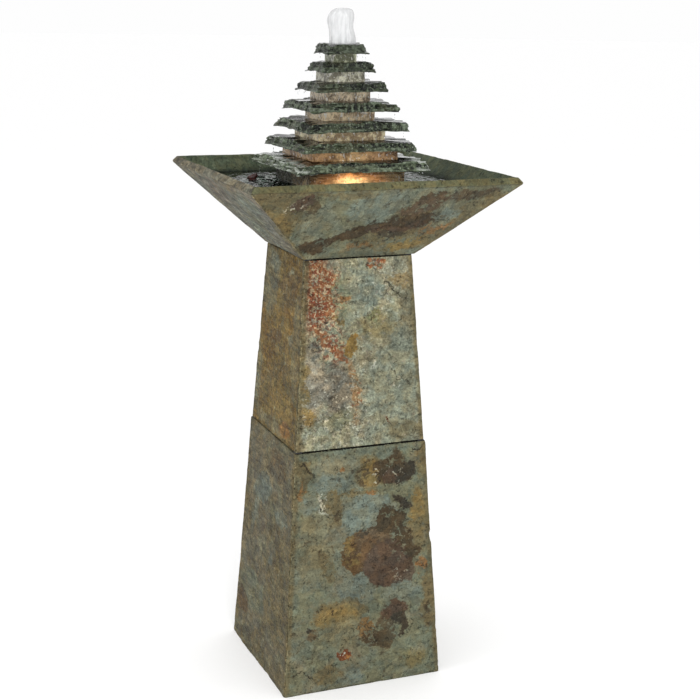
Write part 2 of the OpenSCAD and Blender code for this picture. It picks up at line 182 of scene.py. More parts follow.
def rounded_ring(corners, radii, steps):
    """Points round a closed outline with rounded corners, as (point, normal, face).

    The face is the number of the straight run, and steps gives each run's spacing.
    """
    arc_steps = 4
    count = len(corners)
    ways = [(corners[(i + 1) % count] - corners[i]).normalized() for i in range(count)]
    turns = [ways[i - 1].angle_signed(ways[i]) for i in range(count)]
    cuts = [radii[i] * math.tan(abs(turns[i]) / 2) for i in range(count)]
    ring = []
    for i in range(count):
        into = ways[i - 1]
        start = corners[i] - into * cuts[i]
        normal = Vector((into.y, -into.x))
        centre = start - normal * radii[i]
        for k in range(arc_steps + 1):
            spoke = normal.copy()
            spoke.rotate(Matrix.Rotation(abs(turns[i]) * k / arc_steps, 2))
            ring.append((centre + spoke * radii[i], spoke, i if k > 1 else (i - 1) % count))
        first = corners[i] + ways[i] * cuts[i]
        last = corners[(i + 1) % count] - ways[i] * cuts[(i + 1) % count]
        run = (last - first).length
        inner = max(2, round(run / steps[i]))
        for k in range(1, inner):
            normal = Vector((ways[i].y, -ways[i].x))
            ring.append((first + ways[i] * (run * k / inner), normal, i))
    return ring


def spread(step, half):
    """Places from -1 to 1 across a wall, closer together near its two ends."""
    near = [0.0, 1.0 * MM, 2.2 * MM, 3.8 * MM]
    count = max(4, round(2 * (half - 2 * near[-1]) / step))
    middle = np.linspace(-half + near[-1] + step, half - near[-1] - step, count)
    ends = np.array(near)
    return np.concatenate([-half + ends, middle, half - ends[::-1]]) / half


def band_faces(rings, around, wrap_rings=False, wrap_around=True, start=0, flip=False):
    """Quads between neighbouring rings of points, stored ring after ring from start on."""
    faces = []
    for j in range(rings if wrap_rings else rings - 1):
        here = start + j * around
        after = start + (j + 1) % rings * around
        for i in range(around if wrap_around else around - 1):
            n = (i + 1) % around
            if flip:
                faces.append((here + i, after + i, after + n, here + n))
            else:
                faces.append((here + i, here + n, after + n, after + i))
    return faces


def fan(tip, first, around, flip=False):
    """Triangles from a ring of points to its tip."""
    pairs = [(first + i, first + (i + 1) % around) for i in range(around)]
    return [(b, a, tip) if flip else (a, b, tip) for a, b in pairs]


def wall_outline(node):
    """Side, and outer foot, outer top, inner top and inner foot of a mitred wall."""
    low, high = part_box(node)
    middle = (low + high) / 2
    side = max(SIDES, key=lambda s: middle.x * SIDES[s][0] + middle.y * SIDES[s][1])
    out = Vector((*SIDES[side], 0.0))
    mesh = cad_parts[node].data
    points = {(round(v.co.dot(out), 6), round(v.co.z, 6)) for v in mesh.vertices}
    foot = sorted(p for p in points if p[1] < low.z + 0.1 * MM)
    top = sorted(p for p in points if p[1] > middle.z)
    return side, [Vector(p) for p in (foot[-1], top[-1], top[0], foot[0])]


def rounding_share(ring, corners):
    """How much of the corner rounding each point gets, which fades across the rim and the foot."""
    foot, top, inner_top, inner_foot = corners
    fades = {
        0: lambda p: 1.0,
        1: lambda p: (p.x - inner_top.x) / (top.x - inner_top.x),
        2: lambda p: 0.0,
        3: lambda p: (p.x - inner_foot.x) / (foot.x - inner_foot.x),
    }
    return np.array([min(1.0, max(0.0, fades[face](point))) for point, _, face in ring])


def wall_wear(world, seed, from_end, z, ends, corner_r, rim_r):
    """How far a wall draws back at its edges, and how near a vertical corner each point is."""
    low_z, high_z = ends

    def noise(scale, shift, octaves):
        return layered_noise(world * scale, seed + shift, octaves).reshape(z.shape)

    radius = corner_r + rim_r * smooth_step(z, high_z - 35 * MM, high_z - 6 * MM)
    radius = radius * (1 + 0.3 * noise(25, 3, 2))
    gap = ARC_GAP * radius + from_end
    inside = np.clip(radius - gap, 0.0, radius)
    drop = radius - np.sqrt(radius**2 - inside**2)
    # Small chips out of the corners, the rim and the foot
    chip = np.clip(noise(45, 7, 3) - 0.18, 0, 1)
    near_corner = smooth_step(-gap, -WORN, -1 * MM)
    half_height = (high_z - low_z) / 2
    from_middle = np.abs(z - (low_z + high_z) / 2)
    near_ends = smooth_step(from_middle, half_height - WORN, half_height - 1 * MM)
    return drop + 3.2 * MM * chip * np.maximum(near_corner, near_ends), near_corner


def wall_mesh(node, seed, relief, radii, steps, corner_r, rim_r=0.0):
    """Vertices and faces of a mitred wall with a split face and worn edges.

    relief gives how rough each of its four faces is. The vertical corners are
    rounded by corner_r, and by rim_r more at the top. Seen across the wall, s is
    the distance from the middle of the section, and u runs from -1 to 1 along it.
    """
    side, corners = wall_outline(node)
    out = np.array((*SIDES[side], 0.0))
    along = np.array((-out[1], out[0], 0.0))
    upward = np.array((0.0, 0.0, 1.0))
    ring = rounded_ring(corners, radii, steps)
    places = spread(steps[0], max(c.x for c in corners))
    base = np.array([p for p, _, _ in ring])
    normals = np.array([n for _, n, _ in ring])
    weight = np.array([relief[f] for _, _, f in ring])
    low_z = corners[0].y
    high_z = max(c.y for c in corners)
    u, s = np.meshgrid(places, base[:, 0])
    z = np.repeat(base[:, 1:], len(places), axis=1)

    def in_world(s, z):
        t = u * (s - GLUE)
        return sum(part.ravel()[:, None] * way for part, way in ((s, out), (t, along), (z, upward)))

    world = in_world(s, z)
    from_end = (1 - np.abs(u)) * (s - GLUE)
    wear, near_corner = wall_wear(world, seed, from_end, z, (low_z, high_z), corner_r, rim_r)
    move = cleft(world, seed).reshape(s.shape) * weight[:, None] * (1 - 0.6 * near_corner)
    s = s + normals[:, :1] * move - wear * rounding_share(ring, corners)[:, None]
    z = np.maximum(z + normals[:, 1:] * move, low_z)
    rows, columns = s.shape
    faces = band_faces(rows, columns, wrap_rings=True, wrap_around=False)
    caps = len(faces)
    faces.append(tuple(j * columns + columns - 1 for j in range(rows)))
    faces.append(tuple(j * columns for j in reversed(range(rows))))
    return in_world(s, z), faces, caps


def cut_notch(piece, node, half, height):
    """Cuts the notch that the cords pass through out of the foot of a back panel."""
    low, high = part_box(node)
    reach = 5 * MM
    corners = [
        (x, y, z)
        for x in (-half, half)
        for y in (low.y - reach, high.y + reach)
        for z in (low.z - reach, low.z + height)
    ]
    sides = [(0, 1, 3, 2), (4, 6, 7, 5), (0, 4, 5, 1), (2, 3, 7, 6), (0, 2, 6, 4), (1, 5, 7, 3)]
    cutter = mesh_object("notch", corners, sides)
    cut = piece.modifiers.new("notch", "BOOLEAN")
    cut.object = cutter
    cut.solver = "EXACT"
    bpy.context.view_layer.update()
    seen = piece.evaluated_get(bpy.context.evaluated_depsgraph_get())
    shape = bpy.data.meshes.new_from_object(seen)
    piece.modifiers.clear()
    piece.data = shape
    bpy.data.objects.remove(cutter)


# ---- Node materials ----


class Graph:
    def __init__(self, name):
        self.material = bpy.data.materials.new(name)
        self.material.use_nodes = True
        self.tree = self.material.node_tree
        self.tree.nodes.clear()
        self.object = self.node("ShaderNodeTexCoord").outputs["Object"]

    def node(self, kind, settings=None, **values):
        """A node with its settings, and inputs by name or by number as in_0."""
        item = self.tree.nodes.new(kind)
        for key, value in (settings or {}).items():
            setattr(item, key, value)
        for key, value in values.items():
            number = int(key[3:]) if key.startswith("in_") else None
            name = key.replace("_", " ")
            self.put(item.inputs[number if number is not None else name], value)
        return item

    def put(self, socket, value):
        if isinstance(value, bpy.types.NodeSocket):
            self.tree.links.new(value, socket)
            return
        if socket.type == "RGBA" and len(value) == 3:
            value = (*value, 1.0)
        socket.default_value = value

    def math(self, operation, a, b=0.0):
        return self.node("ShaderNodeMath", {"operation": operation}, in_0=a, in_1=b).outputs[0]

    def vector(self, operation, a, b=(0.0, 0.0, 0.0)):
        item = self.node("ShaderNodeVectorMath", {"operation": operation}, in_0=a, in_1=b)
        return item.outputs["Value" if operation in ("LENGTH", "DOT_PRODUCT") else "Vector"]

    def scaled(self, vector, factor):
        item = self.node("ShaderNodeVectorMath", {"operation": "SCALE"}, in_0=vector, Scale=factor)
        return item.outputs[0]

    def noise(self, vector, scale, detail=3.0, rough=0.55, bend=0.0, output=0):
        inputs = {"Scale": scale, "Detail": detail, "Roughness": rough, "Distortion": bend}
        return self.node("ShaderNodeTexNoise", Vector=vector, **inputs).outputs[output]

    def span(self, value, low, high, to_low=0.0, to_high=1.0, smooth=True):
        settings = {"interpolation_type": "SMOOTHSTEP" if smooth else "LINEAR"}
        item = self.node("ShaderNodeMapRange", settings, in_0=value, in_1=low, in_2=high)
        item.inputs[3].default_value = to_low
        item.inputs[4].default_value = to_high
        return item.outputs[0]

    def mix(self, share, a, b, blend="MIX"):
        item = self.node("ShaderNodeMix", {"data_type": "RGBA", "blend_type": blend})
        self.put(item.inputs[0], share)
        self.put(item.inputs[6], a)
        self.put(item.inputs[7], b)
        return item.outputs[2]

    def stretched(self, scale):
        return self.node("ShaderNodeMapping", Vector=self.object, Scale=scale).outputs[0]

    def part(self, vector, axis):
        """One coordinate of a vector, where 0 is X."""
        return self.node("ShaderNodeSeparateXYZ", Vector=vector).outputs[axis]

    def attribute(self, name):
        return self.node("ShaderNodeAttribute", {"attribute_name": name}).outputs["Fac"]

    def finish(self, colour, rough, height=None, depth=0.5 * MM, strength=1.0, **inputs):
        shader = self.node("ShaderNodeBsdfPrincipled", Base_Color=colour, Roughness=rough, **inputs)
        if height is not None:
            bump = self.node("ShaderNodeBump", Height=height, Distance=depth, Strength=strength)
            self.put(shader.inputs["Normal"], bump.outputs[0])
        out = self.node("ShaderNodeOutputMaterial")
        self.put(out.inputs["Surface"], shader.outputs[0])
        return self.material


def grained(name, noise, dark, light, gloss, depth, share=None, **inputs):
    """A plain material whose colour, roughness and height follow one noise."""
    g = Graph(name)
    grain = g.noise(g.object, *noise)
    colour = g.mix(g.span(grain, *share) if share else grain, dark, light)
    return g.finish(colour, g.span(grain, 0.3, 0.7, *gloss), grain, depth, **inputs)


class Stone(Graph):
    """Natural slate on one side of a section, whose patches are laid one on another."""

    def __init__(self, wall, seed, streak, ground, tone=1.0, grit=0.7, lines=0.14):
        super().__init__(f"slate_{wall}")
        self.wall = wall
        self.tone = tone
        self.grit = grit
        self.lines = lines
        split = self.node("ShaderNodeSeparateXYZ", Vector=self.object).outputs
        axis, sign = ACROSS[wall.split("_")[1]]
        self.across = self.math("MULTIPLY", split[axis], float(sign))
        self.up = split[2]
        flat = self.node("ShaderNodeCombineXYZ", X=self.across, Y=self.up).outputs[0]
        self.shifted = self.moved((0.0, 0.0, 0.37 * seed), flat)
        self.flat = self.bent(flat)
        drawn_out = {"Rotation": (0, 0, -streak), "Scale": (0.35, 1.6, 1)}
        lean = self.node("ShaderNodeMapping", Vector=self.shifted, **drawn_out)
        self.streaks = self.noise(lean.outputs[0], 80.0, 5.0, 0.68)
        self.mottle = self.noise(self.shifted, 75.0, 5.0, 0.72, 0.6)
        self.fine = self.noise(self.shifted, 330.0, 3.0, 0.7, 0.3)
        self.split_layers()
        broad = self.noise(self.shifted, 11.0, 5.0, 0.6, 0.6)
        first = self.mix(self.span(broad, 0.42, 0.50), ground[0], ground[1])
        other = self.noise(self.moved((5.0, 3.0, 1.0)), 14.0, 5.0, 0.65, 0.5)
        self.colour = self.mix(self.span(other, 0.52, 0.60, 0.0, 0.8), first, ground[2])

    def moved(self, by, start=None):
        """Face coordinates shifted, so that each noise has its own pattern."""
        start = self.shifted if start is None else start
        return self.node("ShaderNodeMapping", Vector=start, Location=by).outputs[0]

    def bent(self, flat):
        """Face coordinates pushed about, so that a patch has a ragged edge."""
        push = self.noise(self.shifted, 34.0, 7.0, 0.72, output=1)
        half = (0.5, 0.5, 0.5)
        moved = self.vector("ADD", flat, self.scaled(self.vector("SUBTRACT", push, half), 0.055))
        return self.node("ShaderNodeMapping", Vector=moved, Scale=(1.0, 1.0, 0.0)).outputs[0]

    def split_layers(self):
        """Thin layers that end in broken edges: each layer's tint, height and edge lines, which are a
        painted shadow on one side of each broken edge and a painted highlight on the other.
        """
        rise = self.noise(self.moved((2.0, 7.0, 0.0)), 19.0, 6.0, 0.62, 0.7)
        rise = self.math("MULTIPLY", rise, 11.0)
        level = self.math("FLOOR", rise)
        part = self.math("FRACT", rise)
        pick = self.node("ShaderNodeTexWhiteNoise", {"noise_dimensions": "1D"}, W=level).outputs[0]
        self.tint = self.span(pick, 0.0, 1.0, 0.84, 1.16, smooth=False)
        # Painted shadow on one side of each broken edge, and painted highlight on the other
        self.crack = self.span(part, 0.0, 0.13, 0.52, 1.0)
        self.lip = self.span(part, 0.86, 1.0, 1.0, 1.30)
        step = self.span(part, 0.84, 1.0)
        self.height = self.math("MULTIPLY", self.math("ADD", level, step), 0.28)

    def place(self, at, size, turn=0.0):
        """Falls from 1 in the middle of an ellipse, by 0.5 at its edge, to 0 at twice its size.

        The place and the half axes are in millimetres. A sphere texture gives the value,
        because this keeps Cycles' node stack short.
        """
        shape = {
            "Location": (at[0] * MM, at[1] * MM, 0.0),
            "Rotation": (0.0, 0.0, math.radians(turn)),
            "Scale": (2 * size[0] * MM, 2 * size[1] * MM, 1.0),
        }
        kind = {"vector_type": "TEXTURE"}
        inner = self.node("ShaderNodeMapping", kind, Vector=self.flat, **shape).outputs[0]
        kind = {"gradient_type": "SPHERICAL"}
        return self.node("ShaderNodeTexGradient", kind, Vector=inner).outputs[1]

    def patch(self, colour, at, size, turn=0.0, soft=0.12, broken=0.0, amount=1.0, raised=0.0):
        """An irregular patch, with its place and half axes in millimetres.

        soft is the width of its edge, broken lets the ground through, amount is how much
        it covers, and raised lifts or sinks it.
        """
        near = self.place(at, size, turn)
        mask = self.span(near, 0.5 - soft / 2, 0.5 + soft / 2, 0.0, amount)
        if broken:
            holes = self.span(self.mottle, broken - 0.02, broken + 0.03)
            mask = self.math("MULTIPLY", mask, holes)
        self.colour = self.mix(mask, self.colour, colour)
        if raised:
            self.height = self.math("ADD", self.height, self.math("MULTIPLY", mask, raised))

    def flecks(self, colour=CREAM, scale=190.0, cut=0.64, amount=0.8, at=None, size=None):
        """Small bright or dark flecks over the face, or round one place."""
        spots = self.noise(self.moved((9.0, 1.0, scale)), scale, 3.0, 0.6, 0.3)
        mask = self.span(spots, cut, cut + 0.03, 0.0, amount)
        if at:
            mask = self.math("MULTIPLY", mask, self.span(self.place(at, size), 0.3, 0.75))
        self.colour = self.mix(mask, self.colour, colour)

    def crack_line(self, start, end, width=0.9):
        """A dark crack from one point to another, in millimetres."""
        middle = ((start[0] + end[0]) / 2, (start[1] + end[1]) / 2)
        length = math.dist(start, end) / 2
        turn = math.degrees(math.atan2(end[1] - start[1], end[0] - start[0]))
        self.patch(CHARCOAL, middle, (length, width), turn, soft=0.5, raised=-0.7)

    def joint(self, height, width=0.5):
        """Painted shade: a black line where two sections meet, standing in for the shadow in the gap,
        at a height in metres.
        """
        gap = self.math("ABSOLUTE", self.math("SUBTRACT", self.up, height))
        wobble = self.math("MULTIPLY", self.math("SUBTRACT", self.fine, 0.5), 2 * MM)
        mask = self.span(self.math("ADD", gap, wobble), width * MM, 0.6 * width * MM)
        self.colour = self.mix(mask, self.colour, (0.008, 0.007, 0.005))

    def edges(self, joints=(), width=7.0):
        """The corner lines, and the painted shade of the joint at the foot (0) or at the top (1) of
        the wall.
        """
        _, (foot, top, _, _) = wall_outline(self.wall)
        self.corner_lines(foot, top, width)
        for end in joints:
            self.joint(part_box(self.wall)[end].z)

    def corner_lines(self, foot, top, width):
        """An olive band and a pale line of resin along both vertical corners."""
        run = (top[0] - foot[0]) / (top[1] - foot[1])
        edge = self.math("ADD", foot[0] - run * foot[1], self.math("MULTIPLY", self.up, run))
        wobble = self.math("MULTIPLY", self.math("SUBTRACT", self.mottle, 0.5), 9 * MM)
        gap = self.math("SUBTRACT", edge, self.math("ABSOLUTE", self.across))
        gap = self.math("ADD", gap, wobble)
        band = self.span(gap, width * MM * 1.5, width * MM * 0.7, 0.0, 0.8)
        self.colour = self.mix(band, self.colour, OLIVE_BROWN)
        line = self.span(gap, 2.4 * MM, 1.2 * MM, 0.0, 0.8)
        line = self.math("MULTIPLY", line, self.span(self.fine, 0.42, 0.54))
        self.colour = self.mix(line, self.colour, (0.235, 0.205, 0.120))

    def done(self, gloss=0.66, depth=2.2 * MM):
        """Mottling, layers, pits and streaks over all the patches, then the shader."""
        more = 0.34 * self.grit
        # shade is tone and painted light together: the mottle, grain and streaks also raise the
        # relief, so its lows are painted darker, and the layer edges add painted shadow and highlight
        # lines
        shade = self.span(self.mottle, 0.36, 0.64, 1 - more, 1 + more, smooth=False)
        for part in (
            self.span(self.fine, 0.34, 0.66, 1 - more, 1 + more, smooth=False),
            self.span(self.streaks, 0.38, 0.62, 1 - self.lines, 1 + self.lines, smooth=False),
            self.tint,
            self.crack,
            self.lip,
        ):
            shade = self.math("MULTIPLY", shade, part)
        pits = self.noise(self.moved((3.0, 4.0, 0.0)), 150.0, 4.0, 0.75)
        shade = self.math("MULTIPLY", shade, self.span(pits, 0.36, 0.42, 0.45, 1.0))
        shade = self.math("MULTIPLY", shade, self.tone)
        hue = self.noise(self.moved((1.0, 8.0, 0.0)), 55.0, 4.0, 0.65)
        warm = self.mix(self.span(hue, 0.40, 0.60), (0.94, 1.0, 1.04), (1.07, 1.0, 0.90))
        colour = self.mix(1.0, self.colour, warm, "MULTIPLY")
        colour = self.scaled(colour, shade)
        rough = self.span(self.mottle, 0.4, 0.6, gloss - 0.08, gloss + 0.14, smooth=False)
        height = self.height
        holes = self.span(pits, 0.34, 0.44)
        reliefs = ((self.mottle, 1.1), (self.fine, 0.38), (self.streaks, 0.4), (holes, 0.25))
        for relief, share in reliefs:
            height = self.math("ADD", height, self.math("MULTIPLY", relief, share))
        return self.finish(colour, rough, height, depth, Specular_IOR_Level=0.14)


# ---- Slate of the base section ----


def base_front_top(s):
    """Patches of the top quarter, with the dark ones under the joint."""
    s.patch((0.118, 0.132, 0.096), (0, 362), (90, 9), amount=0.6)
    s.patch((0.152, 0.146, 0.096), (-42, 344), (38, 14), soft=0.4, amount=0.9)
    s.patch(SLATE_BLUE, (-46, 318), (30, 13), soft=0.3, amount=0.9)
    s.patch(OLIVE_BROWN, (-91, 328), (9, 32), amount=0.9)
    s.patch(RUST, (-93, 312), (6, 18), amount=0.6, broken=0.47)
    s.patch(SLATE_BLUE, (8, 264), (50, 32), soft=0.08)
    s.patch(SLATE_BLUE, (-80, 286), (15, 16), soft=0.3, amount=0.8)
    s.patch(OLIVE_BROWN, (-16, 301), (42, 4), amount=0.85, broken=0.43)
    s.patch(RUST, (13, 298), (7, 4.5), amount=0.8)
    s.patch(RUST, (-34, 340), (6, 3), amount=0.8)
    s.patch(OCHRE, (16, 330), (21, 23), soft=0.4)
    s.patch(DARK_BROWN, (12, 330), (18, 22), amount=0.9, broken=0.53)
    s.patch(DARK_BROWN, (45, 330), (24, 26), broken=0.42)
    s.patch(PLUM, (48, 318), (16, 13), amount=0.8)
    s.patch(CHARCOAL, (70, 325), (15, 11), turn=28)
    s.patch(CHARCOAL, (60, 313), (7, 3), turn=40, amount=0.9)


def base_front_right(s):
    """Warm stone along the right corner."""
    s.patch(OCHRE, (92, 262), (17, 36), soft=0.3, amount=0.9, broken=0.40)
    s.patch(OCHRE, (94, 338), (9, 24), soft=0.4, amount=0.7)
    s.patch(OLIVE_BROWN, (90, 224), (14, 26), soft=0.3, amount=0.8)
    s.patch(RUST, (99, 174), (10, 15), soft=0.2, amount=0.85, broken=0.40)
    s.patch(OLIVE_BROWN, (107, 118), (10, 48), soft=0.2, amount=0.9)
    s.patch(DARK_BROWN, (110, 106), (6, 11), amount=0.8)


def base_front_left(s):
    """Olive and brown patches left of the middle."""
    s.patch(OLIVE_BROWN, (-44, 277), (14, 26), soft=0.2, amount=0.9, broken=0.41)
    s.patch(DARK_BROWN, (-40, 267), (7, 5), amount=0.8)
    s.patch((0.160, 0.146, 0.086), (-70, 256), (19, 26), soft=0.4, amount=0.9)
    s.patch(OLIVE, (-76, 206), (27, 34), soft=0.4, amount=0.8)
    s.patch(DARK_BROWN, (-83, 231), (9, 3.5), soft=0.4, amount=0.6)
    s.patch(DARK_BROWN, (-62, 216), (8, 3), turn=-25, amount=0.7)
    s.patch(OLIVE_BROWN, (-56, 194), (10, 26), turn=8, amount=0.7, broken=0.45)
    s.patch(SLATE_BLUE, (-10, 152), (32, 25), soft=0.2, amount=0.9)
    s.patch(SLATE_BLUE, (64, 138), (32, 18), soft=0.3, amount=0.8)


def base_front_middle(s):
    """The large brown and plum patch with its dark edges."""
    s.patch(EARTH, (-2, 206), (29, 33), soft=0.05)
    s.patch(OCHRE, (-12, 212), (15, 24), amount=0.7, broken=0.50)
    s.patch((0.098, 0.064, 0.034), (16, 222), (27, 25), soft=0.1, amount=0.9)
    s.patch(CHARCOAL, (8, 238), (14, 5), turn=30, amount=0.7)
    s.patch(DARK_BROWN, (46, 250), (26, 22), soft=0.05, raised=0.3)
    s.patch(DARK_BROWN, (70, 210), (18, 32), turn=12, soft=0.05)
    s.patch(PLUM, (40, 184), (36, 37), soft=0.08, raised=0.4)
    s.patch(PLUM, (70, 172), (14, 20), amount=0.9)
    s.patch(SLATE_GREEN, (60, 232), (22, 1.6), turn=-62, amount=0.8)
    s.patch(SLATE_GREEN, (40, 262), (14, 1.6), turn=12, amount=0.7)
    s.patch(CHARCOAL, (63, 280), (20, 6.5), turn=-50)


def base_front_foot(s):
    """Ochre and dark patches of the bottom third."""
    s.patch(OLIVE_BROWN, (-36, 116), (42, 25), soft=0.05, amount=0.85)
    s.patch((0.176, 0.128, 0.050), (-38, 112), (34, 19), soft=0.3)
    s.patch(OLIVE, (-28, 86), (36, 22), soft=0.4, amount=0.8)
    s.patch(CHARCOAL, (-84, 101), (7, 3), turn=-20)
    s.patch(EARTH, (-78, 92), (9, 7), soft=0.4, amount=0.8)
    s.patch(DARK_BROWN, (-50, 118), (3, 4))
    s.patch((0.140, 0.082, 0.032), (6, 88), (15, 14), turn=-35, broken=0.42)
    s.flecks(DARK_BROWN, 150.0, 0.54, 0.8, (6, 86), (14, 14))
    s.patch(DARK_BROWN, (14, 74), (13, 12), turn=-30, broken=0.44)
    s.patch(PLUM, (50, 113), (24, 12))
    s.patch(DARK_BROWN, (38, 92), (14, 14), amount=0.8, broken=0.46)
    s.patch(CHARCOAL, (59, 97), (12, 10), turn=40)
    s.patch(CHARCOAL, (63, 78), (6, 16), turn=-24)
    s.patch(DARK_BROWN, (35, 66), (17, 21), soft=0.08, amount=0.9)
    s.patch((0.110, 0.036, 0.014), (-33, 51), (12, 9))
    s.patch(RUST, (-31, 47), (5, 4))
    s.patch(CREAM, (-36, 54), (2.6, 2.0))
    s.patch(OLIVE_BROWN, (-62, 24), (27, 12), soft=0.3, amount=0.9, broken=0.43)
    s.patch(SLATE_BLUE, (-14, 16), (13, 13), soft=0.3)
    s.patch((0.160, 0.136, 0.062), (84, 30), (17, 12), soft=0.5, amount=0.8)


def base_front_slate():
    ground = (BLUE_GREY, SLATE_GREEN, (0.130, 0.122, 0.082))
    s = Stone("base_front", 1, 0.0, ground, 1.0, 0.55)
    base_front_top(s)
    base_front_right(s)
    base_front_left(s)
    base_front_middle(s)
    base_front_foot(s)
    s.crack_line((-108, 38), (-80, 20))
    s.crack_line((-95, 354), (-78, 331), 1.3)
    s.crack_line((74, 352), (98, 364), 0.8)
    s.flecks(CHARCOAL, 130.0, 0.56, 0.9, (-62, 288), (10, 18))
    s.flecks(CREAM, 150.0, 0.55, 0.75, (-61, 290), (9, 17))
    s.flecks(CREAM, 150.0, 0.62, 0.85, (38, 324), (24, 16))
    s.flecks(PALE_GREY, 170.0, 0.57, 0.7, (66, 214), (18, 28))
    s.flecks(CREAM, 150.0, 0.62, 0.7, (60, 170), (10, 10))
    s.flecks(PALE_GREY, 150.0, 0.66, 0.5)
    s.flecks(DARK_BROWN, 120.0, 0.64, 0.6)
    s.edges((1,))
    return s.done()


def base_left_slate():
    ground = (OLIVE, (0.128, 0.112, 0.070), OLIVE_BROWN)
    s = Stone("base_left", 2, 0.35, ground, 0.86, 1.15, 0.26)
    s.patch(SLATE_BLUE, (-30, 275), (50, 22), turn=20, amount=0.8)
    s.patch(SLATE_BLUE, (60, 254), (26, 12), turn=10, amount=0.7)
    s.patch(SLATE_BLUE, (-58, 222), (10, 30), turn=-20, amount=0.6)
    s.patch(SLATE_GREEN, (-50, 100), (60, 30), amount=0.7)
    s.patch(SLATE_BLUE, (30, 178), (14, 7), turn=20, amount=0.6)
    s.patch(EARTH, (40, 330), (40, 22), amount=0.5, broken=0.45)
    s.patch(CHARCOAL, (20, 318), (40, 8), turn=10, amount=0.6, broken=0.47)
    s.patch(PLUM, (-14, 222), (16, 7), turn=25, amount=0.7, broken=0.44)
    s.patch(DARK_BROWN, (30, 228), (44, 8), turn=8, amount=0.6, broken=0.48)
    s.patch(OLIVE_BROWN, (60, 120), (60, 60), amount=0.7)
    s.patch(CHARCOAL, (-74, 20), (38, 10), turn=12, amount=0.6, broken=0.42)
    s.patch(EARTH, (-90, 70), (26, 22), amount=0.7)
    s.patch(DARK_BROWN, (-30, 138), (14, 5), turn=20, amount=0.6)
    s.patch(RUST, (112, 320), (5, 20), amount=0.6, broken=0.45)
    s.crack_line((118, 195), (120, 120), 1.1)
    s.flecks(PALE_GREY, 150.0, 0.62, 0.7)
    s.edges()
    return s.done()


def base_right_slate():
    s = Stone("base_right", 3, -0.2, (BLUE_GREY, SLATE_GREEN, OLIVE), 1.0, 0.8)
    s.patch(SLATE_BLUE, (20, 255), (60, 24), turn=12, amount=0.8)
    s.patch(OCHRE, (-70, 250), (34, 70), amount=0.8, broken=0.44)
    s.patch(EARTH, (-24, 150), (30, 26), turn=-10, amount=0.9)
    s.patch(PLUM, (30, 120), (42, 34), turn=18, raised=0.45)
    s.patch(DARK_BROWN, (52, 300), (34, 16), turn=-14, broken=0.42)
    s.patch(RUST, (-30, 60), (24, 14), amount=0.7, broken=0.46)
    s.patch(OLIVE_BROWN, (10, 215), (60, 18), turn=9, amount=0.8, broken=0.44)
    s.patch(SLATE_BLUE, (60, 60), (40, 26), amount=0.8)
    s.flecks(CREAM, 150.0, 0.60, 0.8, (-20, 300), (30, 20))
    s.flecks(PALE_GREY, 150.0, 0.64, 0.6)
    s.flecks(DARK_BROWN, 120.0, 0.62, 0.6)
    s.edges((1,))
    return s.done()


def base_back_slate():
    s = Stone("base_back", 4, 0.15, (BLUE_GREY, OLIVE, SLATE_GREEN))
    s.patch(SLATE_BLUE, (30, 320), (60, 24), turn=-8, amount=0.8)
    s.patch(EARTH, (-46, 292), (42, 30), turn=15, amount=0.9, broken=0.42)
    s.patch(OCHRE, (60, 230), (30, 48), amount=0.8, broken=0.44)
    s.patch(DARK_BROWN, (10, 150), (54, 22), turn=-22, broken=0.42)
    s.patch(RUST, (-70, 95), (24, 20), amount=0.8, broken=0.46)
    s.patch(SLATE_BLUE, (20, 70), (54, 26), turn=10, amount=0.8)
    s.flecks(PALE_GREY, 150.0, 0.64, 0.6)
    s.flecks(DARK_BROWN, 120.0, 0.62, 0.6)
    s.edges((1,))
    return s.done()


# ---- Slate of the column ----


def column_front_ground(s):
    """Grey and olive tones under the red patches."""
    s.flecks(DUSK, 210.0, 0.56, 0.55)
    s.flecks((0.330, 0.325, 0.250), 200.0, 0.57, 0.5)
    s.patch((0.166, 0.182, 0.138), (10, 594), (27, 34), soft=0.3)
    s.patch((0.200, 0.210, 0.150), (50, 440), (48, 72), soft=0.3, amount=0.75)
    s.patch((0.158, 0.166, 0.120), (70, 500), (26, 56), soft=0.3, amount=0.9)
    s.patch((0.172, 0.158, 0.100), (80, 570), (18, 42), soft=0.3, amount=0.9)
    s.patch(OLIVE, (70, 388), (32, 17), soft=0.3, amount=0.8)
    s.patch((0.200, 0.156, 0.080), (64, 612), (22, 9), turn=-10, soft=0.3, amount=0.9)
    s.patch((0.144, 0.130, 0.098), (-38, 456), (24, 38), soft=0.3)
    s.patch((0.226, 0.196, 0.146), (-72, 468), (17, 44), soft=0.3, amount=0.8)
    s.patch((0.140, 0.134, 0.104), (-68, 520), (17, 14), soft=0.3)
    s.patch((0.150, 0.162, 0.104), (-32, 590), (16, 36), soft=0.3)
    s.patch((0.168, 0.174, 0.116), (-34, 520), (9, 12), amount=0.9)


